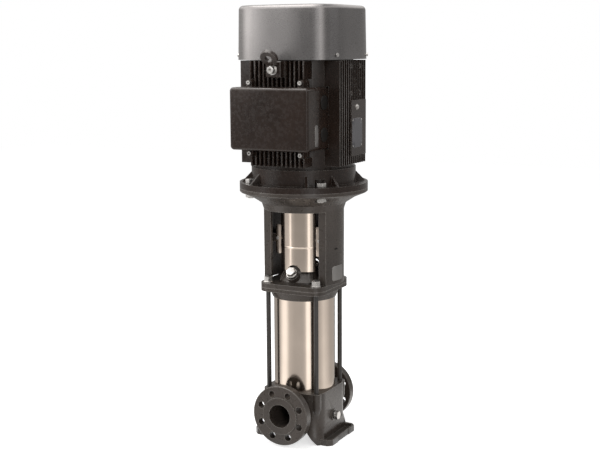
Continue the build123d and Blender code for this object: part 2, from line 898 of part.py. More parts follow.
# Motor flange bolts, with their heads on top and nuts below the stool flange
with BuildPart() as motor_flange_bolts:
    with BuildSketch(Plane.XY.offset(motor_flange_top)):
        with PolarLocations(motor_pcd / 2, 4, 45):
            RegularPolygon(motor_bolt_hex / 2, 6, major_radius=False)
    extrude(amount=motor_bolt_head)
    with BuildSketch(Plane.XY.offset(motor_flange_top)):
        with PolarLocations(motor_pcd / 2, 4, 45):
            Circle(motor_bolt_r)
    extrude(amount=-motor_flange_thick - stool_flange_thick - motor_nut_height - motor_bolt_end)
motor_flange_bolts.part.label = "motor_flange_bolts"
export_step(motor_flange_bolts.part, "parts/motor_flange_bolts.step")

with BuildPart() as motor_flange_nuts:
    with BuildSketch(Plane.XY.offset(stool_flange_bottom)):
        with PolarLocations(motor_pcd / 2, 4, 45):
            RegularPolygon(motor_bolt_hex / 2, 6, major_radius=False)
            Circle(motor_bolt_r + fit_gap, mode=Mode.SUBTRACT)
    extrude(amount=-motor_nut_height)
motor_flange_nuts.part.label = "motor_flange_nuts"
export_step(motor_flange_nuts.part, "parts/motor_flange_nuts.step")

# Drive-end shield: motor flange with its register, bearing hub, wall and gussets
with BuildPart() as drive_end_shield:
    with BuildSketch(Plane.XZ):
        Polygon(
            (motor_shaft_r + shaft_hole_gap, stool_top - register_height),
            (register_r, stool_top - register_height),
            (register_r, stool_top),
            (stool_flange_r, stool_top),
            (stool_flange_r, motor_flange_top),
            (shield_r, motor_flange_top),
            (shield_r, frame_bottom),
            (frame_bore_r - fit_gap, frame_bottom),
            (frame_bore_r - fit_gap, frame_bottom + shield_register_height),
            (frame_bore_r - shield_register_height, frame_bottom + shield_register_height),
            (shield_r - shield_wall - shield_root, motor_flange_top),
            (bearing_hub_r, motor_flange_top),
            (bearing_hub_r, drive_bearing_bottom + bearing_width + shield_lip),
            (bearing_outer_r + fit_gap, drive_bearing_bottom + bearing_width + shield_lip),
            (bearing_outer_r + fit_gap, drive_bearing_bottom),
            (motor_shaft_r + shaft_hole_gap, drive_bearing_bottom),
            align=None,
        )
    revolve(axis=Axis.Z)
    with BuildSketch(Plane.XZ):
        Polygon(
            (shield_r - gusset_root, motor_flange_top),
            (shield_r + gusset_reach, motor_flange_top),
            (shield_r, motor_flange_top + gusset_height),
            (shield_r - gusset_root, motor_flange_top + gusset_height),
            align=None,
        )
    gusset = extrude(amount=gusset_thick / 2, both=True, mode=Mode.PRIVATE)
    for spread in (-gusset_spread, gusset_spread):
        with PolarLocations(0, 4, 45 + spread):
            add(gusset)
    with BuildSketch(Plane.XY.offset(motor_flange_top)):
        with PolarLocations(motor_pcd / 2, 4, 45):
            Circle(motor_bolt_r + free_gap)
    extrude(amount=-motor_flange_thick, mode=Mode.SUBTRACT)
    with BuildSketch(Plane.XY.offset(motor_flange_top)):
        with PolarLocations(motor_pcd / 2, 4, 45):
            Circle(motor_bolt_hex / 2 + bolt_seat_gap)
    extrude(amount=motor_bolt_head + 2 * bolt_seat_gap, mode=Mode.SUBTRACT)
drive_end_shield.part.label = "drive_end_shield"
export_step(drive_end_shield.part, "parts/drive_end_shield.step")

# Motor frame: four groups of parallel fins round a bored core
with BuildPart() as motor_frame:
    with BuildSketch(Plane.XY.offset(fin_bottom)):
        with GridLocations(fin_pitch, 0, fin_count, 1):
            Rectangle(fin_thick, 2 * fin_reach)
        with GridLocations(0, fin_pitch, 1, fin_count):
            Rectangle(2 * fin_reach, fin_thick)
    extrude(amount=fin_top - fin_bottom)
    # room for the terminal box and its ears, the lug pad and the plate pad
    with BuildSketch(Plane.XZ):
        with Locations((0, box_middle)):
            Rectangle(2 * (box_half_x + free_gap), box_height + 2 * free_gap)
        with Locations((0, box_middle)):
            with GridLocations(2 * box_screw_x, 0, 2, 1):
                Rectangle(
                    2 * (box_ear_r + free_gap),
                    box_height + 2 * (box_ear_offset + box_ear_r + free_gap),
                )
    extrude(amount=fin_reach + cut_margin, mode=Mode.SUBTRACT)
    with BuildSketch(Plane.XY.offset(frame_bottom)):
        Circle(frame_r)
    extrude(amount=frame_top - frame_bottom)
    pad_centre = (pad_low_y + pad_high_y) / 2
    with BuildSketch(Plane.YZ.offset(frame_bore_r)):
        with Locations((pad_centre, (pad_bottom + pad_top) / 2)):
            Rectangle(pad_high_y - pad_low_y, pad_top - pad_bottom)
    extrude(amount=pad_face_x - frame_bore_r)
    with BuildSketch(Plane.XZ.offset(frame_bore_r)):
        with Locations((0, (lug_bottom + fin_top) / 2)):
            Rectangle(2 * lug_pad_half_width, fin_top - lug_bottom)
    extrude(amount=fin_reach + lug_pad_height - frame_bore_r)
    with BuildSketch(Plane.XY.offset(frame_bottom)):
        Circle(frame_bore_r)
    extrude(amount=frame_top - frame_bottom, mode=Mode.SUBTRACT)
    with BuildSketch(Plane.XZ.offset(frame_bore_r)):
        with Locations((0, lug_bolt_height)):
            Circle(lug_bolt_r + fit_gap)
    extrude(amount=fin_reach + cut_margin - frame_bore_r, mode=Mode.SUBTRACT)
motor_frame.part.label = "motor_frame"
export_step(motor_frame.part, "parts/motor_frame.step")

# Terminal box: cast lower part fitted round the core, with four ears and side entries
with BuildPart() as terminal_box:
    with BuildSketch(Plane.XZ.offset(-box_back_y)):
        with Locations((0, box_middle)):
            RectangleRounded(2 * box_half_x, box_height, box_corner)
    extrude(amount=box_back_y - box_split_y)
    for ear_height in box_ear_heights:
        with BuildSketch(Plane.XZ.offset(-box_ear_back_y)):
            with Locations((-box_screw_x, ear_height), (box_screw_x, ear_height)):
                Circle(box_ear_r)
            wall_height = min(max(ear_height, box_bottom + box_wall), box_top - box_wall)
            for ear_x in (-box_screw_x, box_screw_x):
                with Locations((ear_x, (ear_height + wall_height) / 2)):
                    Rectangle(2 * box_ear_r, abs(ear_height - wall_height))
        extrude(amount=box_ear_back_y - box_split_y)
    with BuildSketch(Plane.XZ.offset(-box_back_y)):
        with Locations((0, box_middle)):
            Rectangle(2 * (box_half_x - box_wall), box_height - 2 * box_wall)
    extrude(amount=box_back_y - box_split_y, mode=Mode.SUBTRACT)
    with BuildSketch(Plane.XY.offset(box_bottom)):
        Circle(frame_r + fit_gap)
    extrude(amount=box_height, mode=Mode.SUBTRACT)
    with BuildSketch(Plane.YZ.offset(-box_half_x)):
        with Locations((entry_y, box_middle - entry_offset), (entry_y, box_middle + entry_offset)):
            Circle(entry_r)
    extrude(amount=2 * box_half_x, mode=Mode.SUBTRACT)
    with BuildSketch(Plane.XZ.offset(-box_split_y)):
        for ear_height in box_ear_heights:
            with Locations((-box_screw_x, ear_height), (box_screw_x, ear_height)):
                Circle(box_screw_r + fit_gap)
    extrude(amount=box_split_y - box_ear_back_y, mode=Mode.SUBTRACT)
terminal_box.part.label = "terminal_box"
export_step(terminal_box.part, "parts/terminal_box.step")

# Deep cover of the terminal box, with matching ears
with BuildPart() as terminal_box_cover:
    with BuildSketch(Plane.XZ.offset(-box_split_y)):
        with Locations((0, box_middle)):
            RectangleRounded(2 * box_half_x, box_height, box_corner)
    extrude(amount=box_split_y - box_front_y)
    fillet(terminal_box_cover.faces().sort_by(Axis.Y)[0].edges(), box_edge_r)
    for ear_height in box_ear_heights:
        with BuildSketch(Plane.XZ.offset(-box_split_y)):
            with Locations((-box_screw_x, ear_height), (box_screw_x, ear_height)):
                Circle(box_ear_r)
            wall_height = min(max(ear_height, box_bottom + box_wall), box_top - box_wall)
            for ear_x in (-box_screw_x, box_screw_x):
                with Locations((ear_x, (ear_height + wall_height) / 2)):
                    Rectangle(2 * box_ear_r, abs(ear_height - wall_height))
        extrude(amount=box_split_y - box_ear_front_y)
    with BuildSketch(Plane.XZ.offset(-box_split_y)):
        with Locations((0, box_middle)):
            Rectangle(2 * (box_half_x - box_wall), box_height - 2 * box_wall)
    extrude(amount=box_split_y - box_front_y - box_wall, mode=Mode.SUBTRACT)
    with BuildSketch(Plane.XZ.offset(-box_split_y)):
        for ear_height in box_ear_heights:
            with Locations((-box_screw_x, ear_height), (box_screw_x, ear_height)):
                Circle(box_screw_r + free_gap)
    extrude(amount=box_split_y - box_ear_front_y, mode=Mode.SUBTRACT)
terminal_box_cover.part.label = "terminal_box_cover"
export_step(terminal_box_cover.part, "parts/terminal_box_cover.step")

with BuildPart() as box_screws:
    screw_face = Plane.XZ.offset(-box_ear_front_y)
    for ear_height in box_ear_heights:
        with BuildSketch(screw_face):
            with Locations((-box_screw_x, ear_height), (box_screw_x, ear_height)):
                Circle(box_screw_head_r)
                RegularPolygon(box_screw_r, 6, mode=Mode.SUBTRACT)
        extrude(amount=box_screw_head)
        with BuildSketch(screw_face):
            with Locations((-box_screw_x, ear_height), (box_screw_x, ear_height)):
                Circle(box_screw_r)
        extrude(amount=-box_screw_length)
        with BuildSketch(screw_face):
            with Locations((-box_screw_x, ear_height), (box_screw_x, ear_height)):
                Circle(box_screw_r + free_gap)
        extrude(amount=box_screw_head / 3)
box_screws.part.label = "box_screws"
export_step(box_screws.part, "parts/box_screws.step")

# Plugs in the four cable entries
with BuildPart() as cable_entry_plugs:
    for side in (-1, 1):
        entry_plane = Plane(
            origin=(side * box_half_x, entry_y, box_middle), x_dir=(0, 1, 0), z_dir=(side, 0, 0)
        )
        with BuildSketch(entry_plane):
            with GridLocations(0, 2 * entry_offset, 1, 2):
                Circle(entry_cap_r)
        extrude(amount=entry_cap_thick)
        with BuildSketch(entry_plane):
            with GridLocations(0, 2 * entry_offset, 1, 2):
                Circle(entry_r - fit_gap)
        extrude(amount=-entry_plug_length)
cable_entry_plugs.part.label = "cable_entry_plugs"
export_step(cable_entry_plugs.part, "parts/cable_entry_plugs.step")

# Terminal board with its six studs, fixed to the front of the core
with BuildPart() as terminal_board:
    with BuildSketch(Plane.XZ.offset(-board_back_y)):
        with Locations((0, box_middle)):
            Rectangle(board_width, board_height)
    extrude(amount=board_thick)
    with BuildSketch(Plane.XZ.offset(-board_back_y)):
        with Locations((0, box_middle)):
            with GridLocations(board_width - board_leg_inset, board_height - board_leg_inset, 2, 2):
                Circle(board_leg_r)
    extrude(amount=board_back_y + frame_bore_r)
    with BuildSketch(Plane.XY.offset(box_bottom)):
        Circle(frame_r + fit_gap)
    extrude(amount=box_height, mode=Mode.SUBTRACT)
    with BuildSketch(Plane.XZ.offset(-board_back_y)):
        with Locations((0, box_middle)):
            with GridLocations(stud_spacing_x, stud_spacing_z, 3, 2):
                Circle(stud_r)
    extrude(amount=board_thick + stud_length)
terminal_board.part.label = "terminal_board"
export_step(terminal_board.part, "parts/terminal_board.step")

# Lifting lug: plate on the frame, with an eye that leans outwards, and its bolt
lug_plane = Plane.XZ.offset(fin_reach + lug_pad_height)
lean_sin = sin(radians(lug_lean))
lean_cos = cos(radians(lug_lean))
eye_plane = Plane(
    origin=(0, lug_eye_y, lug_eye_height), x_dir=(1, 0, 0), z_dir=(0, -lean_cos, -lean_sin)
)
neck_reach = (lug_eye_r + lug_eye_outer_r) / 2
with BuildPart() as lifting_lug:
    with BuildSketch(lug_plane):
        with Locations((0, (lug_bottom + lug_top) / 2)):
            Rectangle(2 * lug_half_width, lug_top - lug_bottom)
    extrude(amount=lug_thick)
    chamfer(lifting_lug.faces().sort_by(Axis.Y)[0].outer_wire().edges(), lug_chamfer)
    with BuildSketch(eye_plane):
        Circle(lug_eye_outer_r)
    extrude(amount=lug_eye_thick / 2, both=True)
    # neck from the plate to the lower rim of the eye
    with BuildSketch(Plane.YZ):
        Polygon(
            (-fin_reach - lug_thick, lug_neck_bottom),
            (lug_eye_y + neck_reach * lean_sin, lug_neck_bottom),
            (lug_eye_y + lug_eye_r * lean_sin, lug_eye_height - lug_eye_r * lean_cos),
            (-fin_reach - lug_thick, lug_top),
            align=None,
        )
    extrude(amount=lug_neck_half_width, both=True)
    with BuildSketch(eye_plane):
        Circle(lug_eye_r)
    extrude(amount=lug_eye_thick, both=True, mode=Mode.SUBTRACT)
    with BuildSketch(lug_plane):
        with Locations((0, lug_bolt_height)):
            Circle(lug_bolt_r + free_gap)
    extrude(amount=lug_thick, mode=Mode.SUBTRACT)
lifting_lug.part.label = "lifting_lug"
export_step(lifting_lug.part, "parts/lifting_lug.step")

with BuildPart() as lug_bolt:
    lug_face = lug_plane.offset(lug_thick)
    with BuildSketch(lug_face):
        with Locations((0, lug_bolt_height)):
            Circle(lug_washer_r)
    extrude(amount=lug_washer_thick)
    with BuildSketch(lug_face.offset(lug_washer_thick)):
        with Locations((0, lug_bolt_height)):
            Circle(lug_head_r)
    extrude(amount=lug_head_height)
    with BuildSketch(lug_face.offset(lug_washer_thick + lug_head_height)):
        with Locations((0, lug_bolt_height)):
            RegularPolygon(lug_head_r / 2, 6)
    extrude(amount=-lug_head_height / 2, mode=Mode.SUBTRACT)
    with BuildSketch(lug_face):
        with Locations((0, lug_bolt_height)):
            Circle(lug_bolt_r)
    extrude(amount=-lug_thick - lug_thread_length)
lug_bolt.part.label = "lug_bolt"
export_step(lug_bolt.part, "parts/lug_bolt.step")

# Fan-end shield with its bearing hub and the four lugs that carry the cover
with BuildPart() as fan_end_shield:
    with BuildSketch(Plane.XZ):
        Polygon(
            (bearing_outer_r + fit_gap, fan_bearing_bottom - shield_lip),
            (bearing_hub_r, fan_bearing_bottom - shield_lip),
            (bearing_hub_r, frame_top),
            (frame_bore_r - shield_root, frame_top),
            (frame_bore_r - shield_root, frame_top - shield_register_height),
            (frame_bore_r - fit_gap, frame_top - shield_register_height),
            (frame_bore_r - fit_gap, frame_top),
            (frame_r, frame_top),
            (frame_r, fan_shield_top),
            (bearing_bore_r + shield_lip, fan_shield_top),
            (bearing_bore_r + shield_lip, fan_bearing_bottom + bearing_width),
            (bearing_outer_r + fit_gap, fan_bearing_bottom + bearing_width),
            align=None,
        )
    revolve(axis=Axis.Z)
    lug_height = 2 * (cover_screw_height - frame_top) - free_gap
    for screw_plane in cover_screw_planes:
        with BuildSketch(screw_plane.offset(-cover_sheet - cover_lug_gap)):
            Rectangle(lug_height, cover_lug_width)
        extrude(amount=-cover_lug_length)
        with BuildSketch(screw_plane):
            Circle(cover_screw_r + fit_gap)
        extrude(amount=-cover_screw_length, mode=Mode.SUBTRACT)
    with BuildSketch(Plane.XY.offset(fan_shield_top)):
        with PolarLocations((frame_r + frame_bore_r) / 2, 4, 45):
            Circle(end_screw_r + free_gap)
    extrude(amount=-fan_shield_thick, mode=Mode.SUBTRACT)
fan_end_shield.part.label = "fan_end_shield"
export_step(fan_end_shield.part, "parts/fan_end_shield.step")

with BuildPart() as end_shield_screws:
    with BuildSketch(Plane.XY.offset(fan_shield_top)):
        with PolarLocations((frame_r + frame_bore_r) / 2, 4, 45):
            RegularPolygon(end_screw_hex / 2, 6, major_radius=False)
    extrude(amount=end_screw_head)
    with BuildSketch(Plane.XY.offset(fan_shield_top)):
        with PolarLocations((frame_r + frame_bore_r) / 2, 4, 45):
            Circle(end_screw_r)
    extrude(amount=-fan_shield_thick)
end_shield_screws.part.label = "end_shield_screws"
export_step(end_shield_screws.part, "parts/end_shield_screws.step")

# Fan cover: drawn sheet with rounded corners and an air inlet on top
with BuildPart() as fan_cover:
    with BuildSketch(Plane.XY.offset(cover_bottom)):
        RectangleRounded(cover_width, cover_width, cover_corner)
    extrude(amount=cover_height, taper=cover_taper)
    fillet(fan_cover.faces().sort_by(Axis.Z)[-1].edges(), cover_edge_r)
    offset(amount=-cover_sheet, openings=fan_cover.faces().sort_by(Axis.Z)[0])
    with BuildSketch(Plane.XY.offset(cover_top)):
        for ring_r in (vent_ring_inner_r, vent_ring_outer_r):
            with PolarLocations(ring_r, vent_slot_count):
                SlotOverall(vent_slot_length, vent_slot_width)
    extrude(amount=-2 * cover_sheet, mode=Mode.SUBTRACT)
    for screw_plane in cover_screw_planes:
        with BuildSketch(screw_plane):
            Circle(cover_screw_r + free_gap)
        extrude(amount=2 * cover_sheet, both=True, mode=Mode.SUBTRACT)
fan_cover.part.label = "fan_cover"
export_step(fan_cover.part, "parts/fan_cover.step")

# Cover screws, in the lugs of the fan-end shield
with BuildPart() as fan_cover_screws:
    for screw_plane in cover_screw_planes:
        with BuildSketch(screw_plane):
            Circle(cover_screw_head_r)
        extrude(amount=cover_screw_head)
        with BuildSketch(screw_plane):
            Circle(cover_screw_r)
        extrude(amount=-cover_screw_length)
fan_cover_screws.part.label = "fan_cover_screws"
export_step(fan_cover_screws.part, "parts/fan_cover_screws.step")

# Ball bearings, the same size at both ends
bearing_bottoms = (drive_bearing_bottom, fan_bearing_bottom)
race_r = bearing_ball_r + fit_gap
with BuildPart() as bearing_outer_rings:
    ring_inner = bearing_pitch_r + bearing_shoulder
    for bottom in bearing_bottoms:
        ball_height = bottom + bearing_width / 2
        with BuildSketch(Plane.XZ):
            with Locations(((ring_inner + bearing_outer_r) / 2, ball_height)):
                Rectangle(bearing_outer_r - ring_inner, bearing_width)
            with Locations((bearing_pitch_r, ball_height)):
                Circle(race_r, mode=Mode.SUBTRACT)
        revolve(axis=Axis.Z)
bearing_outer_rings.part.label = "bearing_outer_rings"
export_step(bearing_outer_rings.part, "parts/bearing_outer_rings.step")

with BuildPart() as bearing_inner_rings:
    ring_outer = bearing_pitch_r - bearing_shoulder
    shaft_seat_r = bearing_bore_r + fit_gap
    for bottom in bearing_bottoms:
        ball_height = bottom + bearing_width / 2
        with BuildSketch(Plane.XZ):
            with Locations(((shaft_seat_r + ring_outer) / 2, ball_height)):
                Rectangle(ring_outer - shaft_seat_r, bearing_width)
            with Locations((bearing_pitch_r, ball_height)):
                Circle(race_r, mode=Mode.SUBTRACT)
        revolve(axis=Axis.Z)
bearing_inner_rings.part.label = "bearing_inner_rings"
export_step(bearing_inner_rings.part, "parts/bearing_inner_rings.step")

with BuildPart() as bearing_balls:
    for bottom in bearing_bottoms:
        with Locations((0, 0, bottom + bearing_width / 2)):
            with PolarLocations(bearing_pitch_r, bearing_ball_count):
                Sphere(bearing_ball_r)
bearing_balls.part.label = "bearing_balls"
export_step(bearing_balls.part, "parts/bearing_balls.step")

with BuildPart() as bearing_cages:
    for bottom in bearing_bottoms:
        with BuildSketch(Plane.XY.offset((2 * bottom + bearing_width - cage_height) / 2)):
            Circle(bearing_pitch_r + cage_thick / 2)
            Circle(bearing_pitch_r - cage_thick / 2, mode=Mode.SUBTRACT)
        extrude(amount=cage_height)
        with Locations((0, 0, bottom + bearing_width / 2)):
            with PolarLocations(bearing_pitch_r, bearing_ball_count):
                Cylinder(race_r, 2 * cage_thick, rotation=(0, 90, 0), mode=Mode.SUBTRACT)
bearing_cages.part.label = "bearing_cages"
export_step(bearing_cages.part, "parts/bearing_cages.step")

# Stator: laminated core and winding
slot_mid_r = slot_inner_r + slot_depth / 2
with BuildPart() as stator_core:
    with BuildSketch(Plane.XY.offset(core_bottom)):
        Circle(frame_bore_r - fit_gap)
        Circle(rotor_r + air_gap, mode=Mode.SUBTRACT)
        with PolarLocations(slot_mid_r, slot_count):
            Rectangle(slot_depth, slot_width, mode=Mode.SUBTRACT)
    extrude(amount=core_length)
stator_core.part.label = "stator_core"
export_step(stator_core.part, "parts/stator_core.step")

with BuildPart() as stator_windings:
    with BuildSketch(Plane.XY.offset(core_bottom)):
        with PolarLocations(slot_mid_r, slot_count):
            Rectangle(slot_depth - 2 * fit_gap, slot_width - 2 * fit_gap)
    extrude(amount=core_length)
    for turn_bottom in (core_bottom - end_turn_length, core_top):
        with BuildSketch(Plane.XZ):
            with Locations((slot_mid_r, turn_bottom + end_turn_length / 2)):
                RectangleRounded(slot_depth + end_turn_spread, end_turn_length, end_turn_corner)
        revolve(axis=Axis.Z)
stator_windings.part.label = "stator_windings"
export_step(stator_windings.part, "parts/stator_windings.step")

# Rotor core with its end rings
with BuildPart() as rotor_core:
    with BuildSketch(Plane.XY.offset(core_bottom)):
        Circle(rotor_r)
        Circle(rotor_bore_r + fit_gap, mode=Mode.SUBTRACT)
    extrude(amount=core_length)
    with BuildSketch(Plane.XY.offset(core_bottom - end_ring_length)):
        Circle(rotor_r - end_ring_inset)
        Circle(rotor_r - end_ring_inset - end_ring_width, mode=Mode.SUBTRACT)
    extrude(amount=core_length + 2 * end_ring_length)
rotor_core.part.label = "rotor_core"
export_step(rotor_core.part, "parts/rotor_core.step")

# Motor shaft
shaft_bottom = stool_top - motor_shaft_drop
with BuildPart() as motor_shaft:
    with BuildSketch(Plane.XZ):
        Polygon(
            (0, shaft_bottom),
            (motor_shaft_r, shaft_bottom),
            (motor_shaft_r, drive_bearing_bottom),
            (bearing_bore_r, drive_bearing_bottom),
            (bearing_bore_r, drive_bearing_bottom + bearing_width),
            (rotor_bore_r, drive_bearing_bottom + bearing_width),
            (rotor_bore_r, fan_bearing_bottom),
            (bearing_bore_r, fan_bearing_bottom),
            (bearing_bore_r, fan_bearing_bottom + bearing_width),
            (fan_seat_r, fan_bearing_bottom + bearing_width),
            (fan_seat_r, fan_seat_top),
            (0, fan_seat_top),
            align=None,
        )
    revolve(axis=Axis.Z)
    with BuildSketch(Plane.XY.offset(shaft_bottom)):
        with Locations((0, motor_shaft_r)):
            Rectangle(keyway_width, 2 * keyway_depth)
    extrude(amount=keyway_length, mode=Mode.SUBTRACT)
motor_shaft.part.label = "motor_shaft"
export_step(motor_shaft.part, "parts/motor_shaft.step")

# Cooling fan with straight radial blades
with BuildPart() as cooling_fan:
    with BuildSketch(Plane.XY.offset(fan_bottom)):
        Circle(fan_hub_r)
    extrude(amount=fan_hub_height)
    with BuildSketch(Plane.XY.offset(fan_bottom)):
        Circle(fan_r)
    extrude(amount=fan_plate_thick)
    with BuildSketch(Plane.XY.offset(fan_bottom)):
        with PolarLocations((fan_hub_r - fan_blade_root + fan_r) / 2, fan_blade_count):
            Rectangle(fan_r - fan_hub_r + fan_blade_root, fan_blade_thick)
    extrude(amount=fan_blade_height)
    with BuildSketch(Plane.XY.offset(fan_bottom)):
        Circle(fan_seat_r + fit_gap)
    extrude(amount=fan_blade_height, mode=Mode.SUBTRACT)
cooling_fan.part.label = "cooling_fan"
export_step(cooling_fan.part, "parts/cooling_fan.step")

# Split coupling: two halves clamped on both shafts by four screws
coupling_length = coupling_top - coupling_bottom
bore_step_height = (shaft_bottom + pump_shaft_top) / 2
coupling_screw_heights = (coupling_screw_low, coupling_screw_high)
coupling_screw_places = [
    (side * coupling_screw_x, height) for side in (-1, 1) for height in coupling_screw_heights
]
with BuildPart() as coupling_half_front:
    with BuildSketch(Plane.XY.offset(coupling_bottom)):
        Circle(coupling_r)
    extrude(amount=coupling_length)
    chamfer(coupling_half_front.edges(), coupling_chamfer)
    with BuildSketch(Plane.XY.offset(coupling_bottom)):
        with Locations((0, coupling_r - coupling_split_gap / 2)):
            Rectangle(3 * coupling_r, 2 * coupling_r)
    extrude(amount=coupling_length, mode=Mode.SUBTRACT)
    with BuildSketch(Plane.XY.offset(coupling_bottom)):
        Circle(pump_shaft_r + fit_gap)
    extrude(amount=coupling_length, mode=Mode.SUBTRACT)
    with BuildSketch(Plane.XY.offset(bore_step_height)):
        Circle(motor_shaft_r + fit_gap)
    extrude(amount=coupling_top - bore_step_height, mode=Mode.SUBTRACT)
    with BuildSketch(Plane.XZ):
        with Locations(coupling_screw_places):
            Circle(coupling_screw_r + free_gap)
        with Locations((0, coupling_pin_height)):
            Circle(coupling_pin_r + fit_gap)
    extrude(amount=coupling_pin_half + fit_gap, mode=Mode.SUBTRACT)
    with BuildSketch(Plane.XZ.offset(coupling_seat_y)):
        with Locations(coupling_screw_places):
            Circle(coupling_screw_head_r + coupling_seat_gap)
    extrude(amount=coupling_r, mode=Mode.SUBTRACT)
coupling_half_front.part.label = "coupling_half_front"
export_step(coupling_half_front.part, "parts/coupling_half_front.step")

with BuildPart() as coupling_half_back:
    add(coupling_half_front.part.rotate(Axis.Z, 180))
coupling_half_back.part.label = "coupling_half_back"
export_step(coupling_half_back.part, "parts/coupling_half_back.step")

with BuildPart() as coupling_screws:
    with BuildSketch(Plane.XZ.offset(-coupling_seat_y)):
        with Locations(coupling_screw_places):
            Circle(coupling_screw_r)
    extrude(amount=2 * coupling_seat_y)
    with BuildSketch(Plane.XZ.offset(coupling_seat_y)):
        with Locations(coupling_screw_places):
            Circle(coupling_screw_head_r)
            RegularPolygon(coupling_socket_r, 6, mode=Mode.SUBTRACT)
    extrude(amount=coupling_screw_head)
    with BuildSketch(Plane.XZ.offset(coupling_seat_y)):
        with Locations(coupling_screw_places):
            Circle(coupling_socket_r + free_gap)
    extrude(amount=coupling_screw_head / 3)
    # nuts on the other side
    with BuildSketch(Plane.XZ.offset(-coupling_seat_y)):
        with Locations(coupling_screw_places):
            RegularPolygon(coupling_screw_head_r, 6)
    extrude(amount=-coupling_screw_head)
coupling_screws.part.label = "coupling_screws"
export_step(coupling_screws.part, "parts/coupling_screws.step")

with BuildPart() as coupling_pin:
    with BuildSketch(Plane.XZ):
        with Locations((0, coupling_pin_height)):
            Circle(coupling_pin_r)
    extrude(amount=coupling_pin_half, both=True)
coupling_pin.part.label = "coupling_pin"
export_step(coupling_pin.part, "parts/coupling_pin.step")

# Pump shaft, cross-drilled for the coupling pin
with BuildPart() as pump_shaft:
    with BuildSketch(Plane.XY.offset(pump_shaft_bottom)):
        Circle(pump_shaft_r)
    extrude(amount=pump_shaft_top - pump_shaft_bottom)
    chamfer(pump_shaft.edges(), edge_chamfer)
    with BuildSketch(Plane.XZ):
        with Locations((0, coupling_pin_height)):
            Circle(coupling_pin_r + fit_gap)
    extrude(amount=2 * pump_shaft_r, both=True, mode=Mode.SUBTRACT)
pump_shaft.part.label = "pump_shaft"
export_step(pump_shaft.part, "parts/pump_shaft.step")

# Inlet piece: funnel from the riser to the first stage
inlet_disc_bottom = stack_bottom - inlet_disc_thick
with BuildPart() as inlet_piece:
    with BuildSketch(Plane.XZ):
        Polygon(
            (riser_bore_r, riser_top - inlet_seat_depth),
            (inlet_seat_r - fit_gap, riser_top - inlet_seat_depth),
            (inlet_seat_r - fit_gap, riser_top),
            (riser_r, riser_top),
            (riser_r, riser_top + inlet_rise),
            (chamber_r - strap_hook - inlet_lip, inlet_disc_bottom),
            (chamber_r, inlet_disc_bottom),
            (chamber_r, stack_bottom),
            (chamber_r - inlet_rim, stack_bottom),
            (riser_bore_r + inlet_lip, riser_top + inlet_rise + inlet_lip),
            (riser_bore_r, riser_top + inlet_rise - inlet_lip),
            align=None,
        )
    revolve(axis=Axis.Z)
inlet_piece.part.label = "inlet_piece"
export_step(inlet_piece.part, "parts/inlet_piece.step")

# One guide vane of a chamber and one impeller vane, as bent strips through three points,
# each point given as shares of the chamber's or impeller's radius
guide_root_r = bush_outer_r + 4
guide_bend = (0.62 * chamber_r, 0.2 * chamber_r)
guide_tip = (0.86 * chamber_r, 0.48 * chamber_r)
vane_bend = (0.6 * impeller_r, -0.35 * impeller_r)
vane_tip = (0.62 * impeller_r, -0.765 * impeller_r)
with BuildSketch() as guide_vane:
    with BuildLine() as guide_line:
        ThreePointArc((guide_root_r, 0), guide_bend, guide_tip)
    trace(guide_line.line, line_width=guide_thick)
with BuildSketch() as impeller_vane:
    with BuildLine() as vane_line:
        ThreePointArc((vane_inner_r, 0), vane_bend, vane_tip)
    trace(vane_line.line, line_width=vane_thick)

